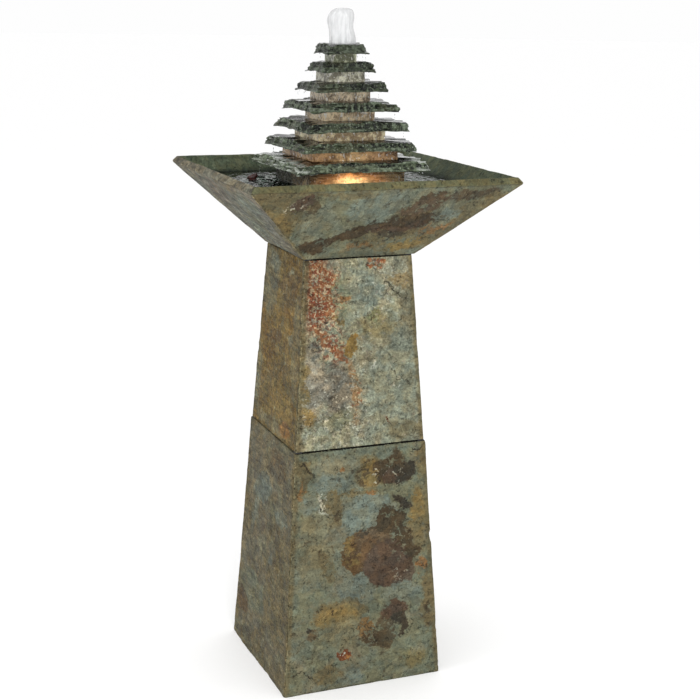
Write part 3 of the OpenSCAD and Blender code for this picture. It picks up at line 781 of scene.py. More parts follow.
def column_front_red(s):
    """The brick-red patches that run down from the top left."""
    s.patch(RUST, (-22, 584), (7, 5), amount=0.8, broken=0.44)
    s.patch(OCHRE, (-34, 558), (13, 7), amount=0.9, broken=0.46)
    s.patch(OCHRE, (-42, 606), (6, 14), amount=0.7, broken=0.48)
    s.patch(BRICK, (-64, 618), (22, 30), soft=0.15)
    s.patch(BRICK, (-63, 578), (22, 32), soft=0.15)
    s.patch((0.174, 0.182, 0.130), (-65, 625), (8, 6), amount=0.9)
    s.patch(DEEP_RED, (-70, 572), (14, 24), soft=0.4, amount=0.7, broken=0.42)
    s.flecks(DEEP_RED, 170.0, 0.50, 0.8, (-62, 594), (32, 62))
    s.flecks(STRAW, 200.0, 0.53, 0.8, (-62, 594), (34, 66))
    s.flecks(DUSK, 230.0, 0.57, 0.7, (-62, 594), (34, 66))
    s.patch(BRICK, (-42, 520), (36, 9), turn=-50, broken=0.40)
    s.flecks(DEEP_RED, 170.0, 0.52, 0.8, (-42, 518), (22, 28))
    s.flecks(STRAW, 200.0, 0.54, 0.8, (-48, 524), (26, 30))
    s.patch((0.172, 0.108, 0.052), (-10, 452), (8, 46), turn=5, soft=0.3, broken=0.46)
    s.flecks(STRAW, 200.0, 0.56, 0.7, (-9, 446), (9, 44))
    s.flecks(DEEP_RED, 170.0, 0.56, 0.7, (-9, 440), (7, 34))


def column_front_spots(s):
    """Ochre and brown spots, and the warm edges."""
    s.patch((0.186, 0.118, 0.036), (-12, 520), (11, 16), soft=0.08)
    s.patch((0.160, 0.140, 0.074), (26, 548), (27, 18), soft=0.3, amount=0.9)
    s.patch((0.130, 0.136, 0.068), (22, 562), (10, 10), amount=0.8, broken=0.44)
    s.flecks(DARK_BROWN, 150.0, 0.57, 0.8, (18, 558), (16, 12))
    s.patch(BRICK, (26, 636), (17, 8), turn=-14, broken=0.46)
    s.flecks(DEEP_RED, 170.0, 0.51, 0.8, (28, 634), (18, 9))
    s.patch((0.190, 0.140, 0.058), (-82, 422), (15, 13), soft=0.3)
    s.patch(OLIVE_BROWN, (-92, 500), (7, 130), soft=0.4, amount=0.8)
    s.patch((0.150, 0.150, 0.090), (-34, 412), (20, 14), soft=0.3, amount=0.8)
    s.patch(OCHRE, (-88, 470), (8, 30), soft=0.3, amount=0.8, broken=0.42)
    s.patch((0.080, 0.030, 0.014), (42, 401), (1.8, 4), turn=8)


def column_front_slate():
    ground = ((0.208, 0.210, 0.142), (0.200, 0.186, 0.124), (0.182, 0.188, 0.128))
    s = Stone("column_front", 5, 0.1, ground, 1.02, 0.9)
    column_front_ground(s)
    column_front_red(s)
    column_front_spots(s)
    s.flecks(CHARCOAL, 170.0, 0.55, 0.75, (-68, 524), (16, 10))
    s.flecks(CHARCOAL, 170.0, 0.58, 0.6, (-38, 456), (24, 36))
    s.flecks(CHARCOAL, 130.0, 0.61, 0.6, (18, 432), (14, 12))
    s.flecks(CREAM, 190.0, 0.58, 0.6, (-40, 420), (56, 60))
    s.flecks(CREAM, 190.0, 0.59, 0.6, (30, 600), (34, 40))
    s.flecks(CREAM, 150.0, 0.55, 0.7, (62, 462), (12, 8))
    s.flecks(CREAM, 150.0, 0.55, 0.7, (24, 494), (14, 12))
    s.flecks(CREAM, 130.0, 0.64, 0.6)
    s.flecks(DARK_BROWN, 130.0, 0.64, 0.5)
    s.crack_line((40, 608), (64, 587), 0.8)
    s.crack_line((46, 482), (62, 468), 0.5)
    s.crack_line((62, 468), (82, 456), 0.5)
    s.edges((0, 1))
    return s.done()


def column_left_slate():
    ground = ((0.138, 0.088, 0.028), (0.146, 0.103, 0.037), (0.114, 0.090, 0.040))
    s = Stone("column_left", 6, 0.3, ground, 0.93, 1.2, 0.30)
    s.patch(OLIVE, (-56, 596), (40, 50), amount=0.85)
    s.patch(SLATE_BLUE, (-36, 624), (22, 16), amount=0.6)
    s.patch(SLATE_BLUE, (-40, 588), (14, 8), amount=0.4)
    s.patch(PLUM, (30, 600), (36, 24), turn=20, amount=0.4)
    s.patch(PLUM, (-10, 515), (26, 12), turn=18, amount=0.5)
    s.patch(PALE_GREY, (32, 624), (12, 4), turn=15, amount=0.7)
    s.patch(PALE_GREY, (34, 486), (14, 3), turn=15, amount=0.6, broken=0.45)
    s.patch(PALE_GREY, (-16, 499), (18, 1.8), turn=-6, amount=0.7)
    s.patch(SLATE_BLUE, (52, 524), (9, 10), amount=0.5)
    s.patch(OLIVE, (-84, 440), (12, 60), amount=0.7)
    s.patch(SLATE_BLUE, (-92, 430), (7, 40), amount=0.6)
    s.patch(RUST, (48, 388), (24, 11), turn=8, amount=0.7)
    s.patch(DARK_BROWN, (0, 462), (60, 8), turn=18, amount=0.5, broken=0.48)
    s.patch(OLIVE, (72, 520), (16, 80), amount=0.6)
    s.patch(PALE_GREY, (88, 632), (7, 8), amount=0.7)
    s.patch(OLIVE, (-20, 382), (60, 10), amount=0.8, broken=0.44)
    s.flecks(PALE_GREY, 150.0, 0.62, 0.7)
    s.edges()
    return s.done()


def column_right_slate():
    s = Stone("column_right", 7, -0.15, (LIGHT_GREY, PALE_GREY, OLIVE), 1.0, 0.9)
    s.patch(SLATE_BLUE, (30, 600), (44, 28), turn=-10, amount=0.8)
    s.patch(OCHRE, (-40, 600), (32, 24), amount=0.8, broken=0.46)
    s.patch(RED_RUST, (38, 520), (20, 54), turn=12, amount=0.9, broken=0.50)
    s.patch(PLUM, (-30, 440), (36, 22), turn=-12, amount=0.85)
    s.patch(CREAM, (-50, 520), (16, 8), amount=0.4, broken=0.48)
    s.flecks(CREAM, 190.0, 0.59, 0.8)
    s.flecks(CHARCOAL, 170.0, 0.61, 0.7)
    s.edges((0, 1))
    return s.done()


def column_back_slate():
    s = Stone("column_back", 8, 0.2, (PALE_GREY, OLIVE, OLIVE_BROWN), 1.0, 0.9)
    s.patch(SLATE_BLUE, (40, 590), (40, 36), turn=10, amount=0.7)
    s.patch(DARK_BROWN, (-20, 560), (50, 16), turn=24, broken=0.42)
    s.patch(OCHRE, (44, 430), (26, 40), amount=0.8, broken=0.44)
    s.patch(PALE_GREY, (-48, 430), (30, 30), amount=0.7)
    s.patch(RUST, (-60, 500), (12, 30), amount=0.7, broken=0.49)
    s.flecks(PALE_GREY, 150.0, 0.64, 0.6)
    s.flecks(CHARCOAL, 170.0, 0.61, 0.7)
    s.edges((0, 1))
    return s.done()


# ---- Slate of the basin ----


def wet_and_shaded_inside(stone, light=(0.104, 0.101, 0.050), dark=(0.090, 0.082, 0.040)):
    """Darkens the inner face of a basin wall, partly as wet stone and partly as painted shade inside
    the basin, and its square-cut rim.
    """
    side, (foot, top, _, _) = wall_outline(stone.wall)
    reach = stone.vector("DOT_PRODUCT", stone.object, (*SIDES[side], 0.0))
    slope = (top[1] - foot[1]) / (top[0] - foot[0])
    length = math.hypot(1.0, slope)
    # Depth below the outer face, through the slab
    plane = stone.math("SUBTRACT", stone.math("MULTIPLY", reach, slope), stone.up)
    depth = stone.math("DIVIDE", stone.math("SUBTRACT", slope * foot[0] - foot[1], plane), length)
    # Height along the slab, up to its square-cut edge
    climb = stone.math("ADD", reach, stone.math("MULTIPLY", stone.up, slope))
    limit = top[0] + top[1] * slope
    below = stone.math("DIVIDE", stone.math("SUBTRACT", limit, climb), length)
    line = stone.math("ABSOLUTE", stone.math("SUBTRACT", below, 3.2 * MM))
    line = stone.span(line, 1.0 * MM, 0.4 * MM, 0.0, 0.7)
    line = stone.math("MULTIPLY", line, stone.span(stone.mottle, 0.40, 0.50, 0.3, 1.0))
    stone.colour = stone.mix(line, stone.colour, (0.042, 0.036, 0.020))
    rim = stone.span(below, 2.8 * MM, 1.6 * MM, 0.0, 0.95)
    rim_colour = stone.mix(stone.span(stone.mottle, 0.44, 0.56), light, dark)
    stone.colour = stone.mix(rim, stone.colour, rim_colour)
    inside = stone.span(depth, 9 * MM, 11 * MM)
    inside = stone.math("MULTIPLY", inside, stone.span(below, 0.5 * MM, 2.0 * MM))
    # The inner face is painted darker, partly wet stone and partly painted shade inside the basin
    mottle = stone.span(stone.mottle, 0.36, 0.64)
    tone = stone.mix(mottle, (0.050, 0.066, 0.037), (0.076, 0.086, 0.052))
    # Black where the water stands and splashes: wet stone, and painted shade under the water
    soaked_and_shaded = stone.span(stone.up, water_level() + 7 * MM, water_level() - 1 * MM)
    tone = stone.mix(soaked_and_shaded, tone, (0.020, 0.026, 0.017))
    stone.colour = stone.mix(inside, stone.colour, tone)


def basin_front_slate():
    s = Stone("basin_front", 9, 0.12, (SLATE_GREEN, BLUE_GREY, SLATE_GREEN), 1.08, 0.6)
    s.patch(SLATE_BLUE, (-10, 730), (44, 26), amount=0.7)
    s.patch(PALE_GREY, (-84, 712), (28, 18), turn=-10, amount=0.6)
    s.patch(OLIVE_BROWN, (-165, 720), (50, 60), turn=-30, amount=0.9)
    s.patch(OCHRE, (-150, 704), (22, 36), turn=35, amount=0.5, broken=0.46)
    s.patch(OLIVE_BROWN, (-76, 752), (60, 5), amount=0.6)
    s.patch(PLUM, (-122, 744), (15, 8))
    s.patch(DARK_BROWN, (-106, 735), (9, 6), amount=0.8)
    s.patch(PALE_GREY, (-96, 680), (26, 9), turn=20, amount=0.5, broken=0.47)
    s.patch(OLIVE_BROWN, (60, 676), (100, 18), amount=0.8, broken=0.42)
    s.patch(OLIVE_BROWN, (60, 724), (34, 14), turn=12, amount=0.8, broken=0.42)
    s.patch(BLACK_BROWN, (-78, 668), (34, 12), turn=12, broken=0.38)
    s.patch(BLACK_BROWN, (-26, 688), (44, 9), turn=24, broken=0.38, raised=0.5)
    s.patch(BLACK_BROWN, (40, 703), (62, 13), turn=6, broken=0.34, raised=0.5)
    s.patch(PLUM, (34, 694), (46, 9), turn=4, amount=0.8, broken=0.44)
    s.patch((0.074, 0.054, 0.034), (66, 730), (36, 11), turn=14, broken=0.43)
    s.patch(BLACK_BROWN, (66, 742), (20, 5), turn=8, broken=0.44)
    s.patch((0.070, 0.056, 0.034), (130, 744), (42, 9), turn=8, broken=0.43)
    s.patch(CHARCOAL, (34, 684), (26, 5), amount=0.9)
    s.patch(OLIVE_BROWN, (150, 712), (44, 28), turn=35, amount=0.8)
    s.patch(SLATE_BLUE, (104, 712), (20, 7), turn=10, amount=0.8)
    s.patch(RUST, (96, 692), (24, 6), turn=14, amount=0.6, broken=0.46)
    s.patch(OCHRE, (60, 667), (30, 8), turn=8, amount=0.8, broken=0.45)
    s.patch(RUST, (-18, 663), (22, 6), turn=8, amount=0.5, broken=0.46)
    s.patch(PALE_GREY, (18, 668), (14, 4), turn=6, amount=0.5, broken=0.45)
    s.patch(SLATE_GREEN, (-38, 664), (14, 10), amount=0.7)
    s.flecks(CREAM, 150.0, 0.55, 0.9, (-132, 736), (12, 8))
    s.flecks(PALE_GREY, 150.0, 0.64, 0.5)
    s.flecks(DARK_BROWN, 130.0, 0.61, 0.6)
    s.edges((0,), width=5.0)
    wet_and_shaded_inside(s)
    return s.done()


def basin_left_slate():
    ground = ((0.124, 0.117, 0.086), (0.116, 0.116, 0.090), (0.144, 0.126, 0.094))
    s = Stone("basin_left", 10, 0.28, ground, 0.98, 1.5, 0.38)
    s.patch((0.124, 0.103, 0.080), (-50, 730), (60, 16), turn=14, amount=0.7)
    s.patch(SLATE_BLUE, (90, 728), (60, 16), turn=10, amount=0.7)
    s.patch(SLATE_BLUE, (-40, 676), (40, 16), turn=14, amount=0.6)
    s.patch(SLATE_GREEN, (20, 690), (60, 16), turn=14, amount=0.6)
    s.patch(PALE_GREY, (-8, 736), (34, 4), turn=16, amount=0.6, broken=0.45)
    s.patch(CHARCOAL, (-86, 714), (14, 2), turn=12, amount=0.8)
    s.patch(CHARCOAL, (-20, 728), (16, 2), turn=12, amount=0.7)
    s.patch(OLIVE_BROWN, (120, 676), (40, 26), turn=30, amount=0.8)
    s.patch(OCHRE, (60, 752), (50, 4), turn=4, amount=0.5, broken=0.46)
    s.flecks(PALE_GREY, 150.0, 0.60, 0.7)
    s.flecks(CHARCOAL, 130.0, 0.62, 0.5)
    s.edges((0,), width=4.0)
    wet_and_shaded_inside(s, (0.120, 0.110, 0.076), (0.136, 0.124, 0.088))
    return s.done()


def basin_right_slate():
    s = Stone("basin_right", 11, -0.1, (SLATE_GREEN, PALE_GREY, OLIVE))
    s.patch(SLATE_BLUE, (-60, 735), (60, 14), turn=-8, amount=0.7)
    s.patch(DARK_BROWN, (-40, 700), (70, 12), turn=-12, broken=0.40, raised=0.5)
    s.patch(OCHRE, (80, 730), (50, 12), turn=6, amount=0.8, broken=0.45)
    s.patch(PLUM, (20, 738), (44, 8), amount=0.8, broken=0.45)
    s.patch(RUST, (-80, 664), (24, 6), amount=0.6, broken=0.46)
    s.flecks(PALE_GREY, 150.0, 0.64, 0.6)
    s.flecks(CHARCOAL, 130.0, 0.62, 0.6)
    s.edges((0,), width=5.0)
    wet_and_shaded_inside(s)
    return s.done()


def basin_back_slate():
    s = Stone("basin_back", 12, 0.1, (SLATE_GREEN, OLIVE, BLUE_GREY))
    s.patch(SLATE_BLUE, (40, 730), (70, 16), turn=8, amount=0.7)
    s.patch(EARTH, (-80, 720), (60, 16), turn=10, amount=0.8, broken=0.44)
    s.patch(DARK_BROWN, (60, 690), (60, 11), turn=-8, broken=0.42, raised=0.5)
    s.flecks(PALE_GREY, 150.0, 0.64, 0.6)
    s.flecks(CHARCOAL, 130.0, 0.62, 0.6)
    s.edges((0,), width=5.0)
    wet_and_shaded_inside(s)
    return s.done()


# ---- The twelve slate walls ----


# Roughness of the outer face, rim, inner face and foot; rounding of the four edges; spacing of the
# points on the four faces; rounding of the vertical corners, and how much more of it at the rim
SECTION_WALL = (
    (1.0, 0.25, 0.4, 0.1),
    (1.0 * MM, 1.3 * MM, 0.8 * MM, 0.8 * MM),
    (2.1 * MM, 4 * MM, 24 * MM, 6 * MM),
    3.2 * MM,
)
BASIN_WALL = (
    (0.9, 0.5, 0.5, 0.1),
    (1.0 * MM, 3.0 * MM, 2.0 * MM, 0.6 * MM),
    (2.2 * MM, 2.2 * MM, 3.2 * MM, 5 * MM),
    2.5 * MM,
    2.5 * MM,
)
CHAMBER_WALL = (
    (0.45, 0.0, 0.2, 0.0),
    (0.8 * MM, 1.0 * MM, 0.6 * MM, 0.6 * MM),
    (2.6 * MM, 5 * MM, 22 * MM, 6 * MM),
    1.2 * MM,
)


def stone_wall(node, body, material, seed, shape):
    """One of the four walls of a section, in place of its CAD node."""
    vertices, faces, caps = wall_mesh(node, seed, *shape)
    return new_piece(f"{node}_slab", vertices, faces, material, body, [node], caps)


def section(name, walls, shape, first_seed):
    """The walls of a section, each with the seed of its place in SIDES."""
    pieces = {}
    for side, slate in walls.items():
        seed = first_seed + list(SIDES).index(side)
        node = f"{name}_{side}"
        pieces[side] = stone_wall(node, name, slate(), seed, shape)
    return pieces


def base_section():
    walls = {
        "front": base_front_slate,
        "right": base_right_slate,
        "left": base_left_slate,
        "back": base_back_slate,
    }
    pieces = section("base", walls, SECTION_WALL, 11)
    cut_notch(pieces["back"], "base_back", half=13 * MM, height=18 * MM)


def column_section():
    walls = {
        "front": column_front_slate,
        "right": column_right_slate,
        "back": column_back_slate,
        "left": column_left_slate,
    }
    section("column", walls, SECTION_WALL, 21)


def basin_section():
    walls = {
        "front": basin_front_slate,
        "right": basin_right_slate,
        "back": basin_back_slate,
        "left": basin_left_slate,
    }
    section("basin", walls, BASIN_WALL, 31)


# ---- Tower ----


def wet_slate(name, deep, pale, froth_and_sheen=0.0):
    """Wet green-black slate of the plates, with painted highlights on the ridges between its chips and
    painted shade deep in the chips.
    """
    g = Graph(name)
    grain = g.noise(g.stretched((1, 1, 1.8)), 130.0, 5.0, 0.75, 0.5)
    fine = g.noise(g.object, 420.0, 3.0, 0.7)
    broad = g.noise(g.object, 22.0, 4.0, 0.6)
    blotch = g.span(g.math("ADD", grain, g.math("MULTIPLY", broad, 0.35)), 0.56, 0.76)
    colour = g.mix(blotch, deep, pale)
    colour = g.mix(g.span(broad, 0.54, 0.62, 0.0, 0.5), colour, (0.042, 0.036, 0.017))
    # Painted highlight where the edge stands proud, painted shade where it is bitten deep
    chip = g.attribute("chip")
    colour = g.mix(g.span(chip, 0.25, 0.9, 0.0, 0.75), colour, (0.125, 0.155, 0.105))
    colour = g.mix(g.span(chip, -0.25, -0.9, 0.0, 0.9), colour, WET_AND_SHADE_BLACK)
    colour = g.mix(g.span(fine, 0.42, 0.38, 0.0, 0.7), colour, WET_AND_SHADE_BLACK)
    colour = g.mix(g.span(fine, 0.59, 0.63, 0.0, 0.8), colour, (0.23, 0.27, 0.20))
    # The lower plates are paler
    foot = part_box("plate_7")[0].z
    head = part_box("plate_1")[1].z
    colour = g.scaled(colour, g.span(g.part(g.object, 2), foot, head, 1.35, 0.60, smooth=False))
    # A film of water lies on what faces up; there the colour is painted near black as shade and the
    # dark reflection of the plate above
    facing = g.part(g.node("ShaderNodeNewGeometry").outputs["Normal"], 2)
    film_and_top_shade = g.span(facing, 0.80, 0.95)
    colour = g.mix(g.math("MULTIPLY", film_and_top_shade, 0.92), colour, (0.008, 0.006, 0.004))
    ends = g.attribute("ends")
    if froth_and_sheen:
        # Water lands at both ends of the plate: there the top is painted pale, partly white froth and
        # partly painted sheen
        wet = g.span(facing, 0.45, 0.85)
        wet = g.math("MULTIPLY", wet, g.span(grain, 0.42, 0.54, 0.35, 1.0))
        wet = g.math("MULTIPLY", wet, g.span(ends, 1.6, 3.6, 0.0, froth_and_sheen))
        colour = g.mix(wet, colour, (0.42, 0.45, 0.40))
    rough = g.math("ADD", g.span(grain, 0.38, 0.62, 0.22, 0.42), g.math("MULTIPLY", film_and_top_shade, -0.16))
    height = g.math("ADD", grain, g.math("MULTIPLY", fine, 0.35))
    coat = g.math("MULTIPLY", film_and_top_shade, g.span(ends, 0.0, 1.0, 0.25, 1.0, smooth=False))
    gloss = {"Specular_IOR_Level": 0.26, "Coat_Weight": coat, "Coat_Roughness": 0.06}
    return g.finish(colour, rough, height, 2.2 * MM, **gloss)


def lamp_glow(g, spot, reach, strength, tone):
    """Emission inputs for the light that the lamp throws round a spot."""
    kind = {"vector_type": "TEXTURE"}
    scale = (reach[0], 0.05, reach[1])
    place = g.node("ShaderNodeMapping", kind, Vector=g.object, Location=spot, Scale=scale)
    far = g.vector("LENGTH", place.outputs[0])
    shade = g.span(tone, 0.84, 1.16, 0.45, 1.5, smooth=False)
    return {
        "Emission_Color": g.mix(g.span(far, 0.15, 0.65), (1.0, 0.65, 0.28), (0.75, 0.30, 0.09)),
        "Emission_Strength": g.math("MULTIPLY", g.span(far, 1.0, 0.0, 0.0, strength), shade),
    }


def spacer_stone(name, dark, light, glow=None, dark_to_back=False, gleam=0.9, flow=(1, 1, 0.8)):
    """Wet tan stone with painted highlights: white specks that stand in for glints on the water. glow
    is the spot, reach and strength of the lamp's light.
    """
    g = Graph(name)
    grain = g.noise(g.stretched(flow), 150.0, 5.0, 0.72, 0.6)
    broad = g.noise(g.object, 36.0, 4.0, 0.6, 0.5)
    fine = g.noise(g.object, 430.0, 3.0, 0.7)
    tone = g.math("ADD", grain, broad)
    colour = g.mix(g.span(tone, 0.86, 1.14), dark, light)
    colour = g.mix(g.span(fine, 0.44, 0.36, 0.0, 0.7), colour, tuple(0.4 * c for c in dark))
    if dark_to_back:
        # The end away from the front is green-black
        back = g.math("ADD", g.part(g.object, 1), g.math("MULTIPLY", broad, 26 * MM))
        back_dark = g.span(back, -12 * MM, 22 * MM, 0.0, 0.92)
        colour = g.mix(back_dark, colour, (0.014, 0.016, 0.009))
    # Painted highlights: white specks for the glints on the wet stone
    painted_glint = g.noise(g.stretched((1, 1, 0.55)), 240.0, 3.0, 0.65, 0.5)
    painted_glint = g.span(painted_glint, 0.585, 0.63, 0.0, gleam)
    colour = g.mix(painted_glint, colour, (0.86, 0.84, 0.78))
    rough = g.span(grain, 0.38, 0.62, 0.14, 0.36)
    height = g.math("ADD", grain, g.math("MULTIPLY", fine, 0.5))
    height = g.math("ADD", height, g.math("MULTIPLY", painted_glint, 0.5))
    light_inputs = lamp_glow(g, *glow, tone) if glow else {}
    return g.finish(colour, rough, height, 1.6 * MM, Specular_IOR_Level=0.45, **light_inputs)


def square_outline(count, power):
    """Points round a square whose corners are rounded more for a smaller power."""
    places = np.arange(4 * count) / count
    side = places.astype(int)
    run = (places - side) * 2 - 1
    ways = np.array([(0, 1), (-1, 0), (0, -1), (1, 0)])
    across = np.array([(1, 0), (0, 1), (-1, 0), (0, -1)])
    points = across[side] + ways[side] * run[:, None]
    return points / (1 + np.abs(run[:, None]) ** power) ** (1 / power)


def slab_rings(outline, levels, bore, ends):
    """Vertices and faces of a slab from its rings, which run from the bore round it."""
    spokes = outline / np.linalg.norm(outline, axis=1)[:, None]
    foot, top = (np.column_stack([spokes * bore, np.full(len(outline), z)]) for z in ends)
    rings = [foot, *levels, top]
    return np.concatenate(rings), band_faces(len(rings), len(outline), wrap_rings=True)


def flake_depth(place, rise, length, random):
    """How deep the flakes struck off an edge bite in, at each place round it and rise."""
    depth = np.zeros((len(rise), len(place)))
    for _ in range(round(length / (4.6 * MM))):
        centre = random.uniform(0, length)
        wide = random.uniform(3.5, 12) * MM
        tall = random.uniform(0.30, 0.75)
        middle = random.uniform(0.15, 1.25)
        deep = random.uniform(1.2, 4.6) * MM
        slant = random.uniform(-0.5, 0.5) * wide
        for row, share in enumerate(rise):
            along = (place - centre - slant * (share - middle) + length / 2) % length - length / 2
            bowl = 1 - (along / wide) ** 2 - ((share - middle) / tall) ** 2
            depth[row] = np.maximum(depth[row], deep * np.clip(bowl, 0, None))
    return depth


def add_attribute(piece, name, values):
    layer = piece.data.attributes.new(name, "FLOAT", "POINT")
    layer.data.foreach_set("value", values)


def mark_chips(piece, bites, layers, rings):
    """How far each point stands proud of the edge round about it, in millimetres."""
    around = np.zeros_like(bites)
    for shift in range(-5, 6):
        around += np.roll(bites, shift, axis=1) / 11
    proud = np.zeros((rings, bites.shape[1]))
    # The edge comes after the bore's ring and the four rings of the underside
    proud[5 : 5 + len(bites)] = (around - bites) / MM + 0.8 * np.array(layers)
    # The plate's material paints highlights on what stands proud and shade on what lies deep from this
    add_attribute(piece, "chip", proud.ravel())


def rough_ring(outline, radius, z, seed, rough, ledge=0.0):
    """A ring of a plate with an uneven outline, and how far it stands out, in millimetres."""
    points = np.column_stack([outline * radius[:, None], z])
    wobble = layered_noise(points * 160, seed, 3) * rough
    if ledge:
        # Thin layers that stick out one beyond another
        wobble += ledge * layered_noise(points * np.array((32, 32, 430)), seed + 9, 3)
    points[:, :2] *= (1 + wobble * MM / np.maximum(radius, 1 * MM))[:, None]
    points[:, 2] += 0.4 * rough * wobble * MM
    return points, wobble


def corner_droop(outline, half, random):
    """How far a plate hangs down at its corners, which is most at the back left."""
    corner = np.minimum(np.abs(outline[:, 0]), np.abs(outline[:, 1])) ** 4
    right = outline[:, 0] > 0
    back = outline[:, 1] > 0
    droop = random.uniform(0.5, 3.0, 4)[right * 2 + back]
    return (droop + 1.2 * (outline[:, 0] < 0) + 28 * half * (back & (outline[:, 0] < 0))) * corner * MM


# Height shares of the rings that make up the edge of a plate
EDGE_RISE = (0, 0.06, 0.14, 0.23, 0.33, 0.43, 0.53, 0.63, 0.73, 0.83, 0.91, 0.97, 1.0)
# How far the top edge stands back from the lower lip
PLATE_SLOPE = 3.8 * MM


def chipped_plate(node, above, material, seed):
    """A square plate with a knapped edge, whose lower lip stands out furthest.

    Its top stays flat under the piece above it.
    """
    low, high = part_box(node)
    half = half_width(node)
    spacer_half = half_width(above)
    random = np.random.default_rng(seed)
    outline = square_outline(max(60, round(2 * half / (1.05 * MM))), 64.0)
    total = len(outline)
    length = 8 * half
    place = np.arange(total) * length / total
    bites = 0.8 * flake_depth(place, EDGE_RISE, length, random)
    flat = np.column_stack([outline * half, np.zeros(total)])
    lip = half + (2.4 - 4.5 * np.abs(layered_noise(flat * 26, seed + 5, 3))) * MM
    droop = corner_droop(outline, half, random)
    sag = (1.3 * layered_noise(flat * 90, seed + 6, 3) - 0.5) * MM - 0.6 * droop
    # The top edge rises and dips round the plate
    dip = np.clip(0.8 * bites[-1] - 0.8 * MM, 0, 3.0 * MM)
    dip += 3.4 * layered_noise(flat * 42, seed + 7, 3) * MM - 0.5 * MM + droop
    levels = []
    for share in (0.45, 0.75, 0.9, 0.96):
        z = low.z + sag * max(0, share - 0.8) / 0.16
        levels.append(rough_ring(outline, lip * share, z, seed, 0.0 if share < 0.8 else 0.4)[0])
    foot = low.z + sag
    layers = []
    for row, share in enumerate(EDGE_RISE):
        inset = PLATE_SLOPE * share**1.3 + bites[row] * (0.25 + 0.75 * min(1, share * 2.5))
        z = foot + (high.z - dip - foot) * share
        points, wobble = rough_ring(outline, lip - inset, z, seed, 0.5, ledge=2.6)
        levels.append(points)
        layers.append(wobble)
    edge = lip - PLATE_SLOPE - bites[-1]
    for share in (0.965, 0.92, 0.85, 0.75, 0.6, 0.4):
        away = smooth_step(edge * share, spacer_half + 1 * MM, spacer_half + 7 * MM)
        z = high.z - dip * away * min(1, share / 0.92)
        levels.append(rough_ring(outline, edge * share, z, seed, 0.5 * away)[0])
    vertices, faces = slab_rings(outline, levels, BORE, (low.z, high.z))
    piece = new_piece(f"{node}_slab", vertices, faces, material, "tower", [node])
    sharpen(piece, 38)
    mark_chips(piece, bites, layers, len(levels) + 2)
    beyond = np.clip((np.abs(vertices[:, 0]) - spacer_half) / (6 * MM), 0, 5)
    add_attribute(piece, "ends", beyond)
    return piece


def spacer_block(node, material, seed):
    """A sawn stone block with slightly uneven sides and worn edges."""
    low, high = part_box(node)
    half = half_width(node)
    thick = high.z - low.z
    outline = square_outline(max(24, round(2 * half / (1.5 * MM))), 90.0)
    total = len(outline)
    levels = []
    shares = [(0.6, 0.0), (0.9, 0.0)]
    shares += [(1.0, rise) for rise in (0.0, 0.08, 0.2, 0.32, 0.44, 0.56, 0.68, 0.8, 0.92, 1.0)]
    shares += [(0.9, 1.0), (0.6, 1.0)]
    for index, (share, rise) in enumerate(shares):
        points = np.column_stack([outline * half * share, np.full(total, low.z + thick * rise)])
        uneven = layered_noise(points * 60, seed, 4) * 1.1
        if index in (2, 11):
            # Worn edges at the foot and the top
            uneven -= 0.5
        points[:, :2] *= 1 + uneven[:, None] * MM / half
        levels.append(points)
    vertices, faces = slab_rings(outline, levels, BORE, (low.z, high.z))
    piece = new_piece(f"{node}_block", vertices, faces, material, "tower", [node])
    sharpen(piece, 35)
    return piece


def lamp_spot():
    """Where the lamp's beam meets the front of the hollow block, just over the water."""
    lens = (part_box("lamp_lens")[0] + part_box("lamp_lens")[1]) / 2
    return Vector((lens.x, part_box("chamber_front")[0].y, water_level() + 5 * MM))


def lit_stone():
    """Stone of the hollow block's front, over the lamp."""
    spot = lamp_spot()
    spot.z += 3 * MM
    glow = (tuple(spot), (0.068, 0.019), 1.08)
    colours = ((0.118, 0.078, 0.036), (0.58, 0.41, 0.21))
    return spacer_stone("chamber_stone_lit", *colours, glow, gleam=0.5, flow=(0.25, 1, 1.2))


def chamber():
    """The hollow block under the lowest plate."""
    dark = ((0.014, 0.016, 0.010), (0.100, 0.092, 0.060))
    # The left wall is brown towards the front, the lamp's light painted round the corner, and turns
    # green-black towards the back; the right and back walls stay near black
    brown = ((0.080, 0.052, 0.024), (0.420, 0.300, 0.160))
    lit = lit_stone()
    unlit = spacer_stone("chamber_stone", *dark, gleam=0.22)
    lamp_lit_side = spacer_stone("chamber_stone_lit_side", *brown, dark_to_back=True, gleam=0.22)
    walls = {"front": (lit, 41), "right": (unlit, 42), "left": (lamp_lit_side, 44), "back": (unlit, 43)}
    for side, (stone, seed) in walls.items():
        wall = stone_wall(f"chamber_{side}", "tower", stone, seed, CHAMBER_WALL)
    cut_notch(wall, "chamber_back", half=18 * MM, height=16 * MM)


# Darker and lighter colour of each spacer, from the top down
SPACER_COLOURS = (
    ((0.130, 0.140, 0.080), (0.740, 0.760, 0.540)),
    ((0.150, 0.140, 0.092), (0.700, 0.680, 0.530)),
    ((0.150, 0.110, 0.066), (0.760, 0.630, 0.430)),
    ((0.330, 0.235, 0.135), (0.900, 0.730, 0.470)),
    ((0.320, 0.235, 0.130), (0.960, 0.860, 0.560)),
    ((0.130, 0.066, 0.024), (0.520, 0.330, 0.160)),
)
# How strongly the lamp lights the lowest spacers
SPACER_GLOW = {5: 0.06, 6: 0.16}


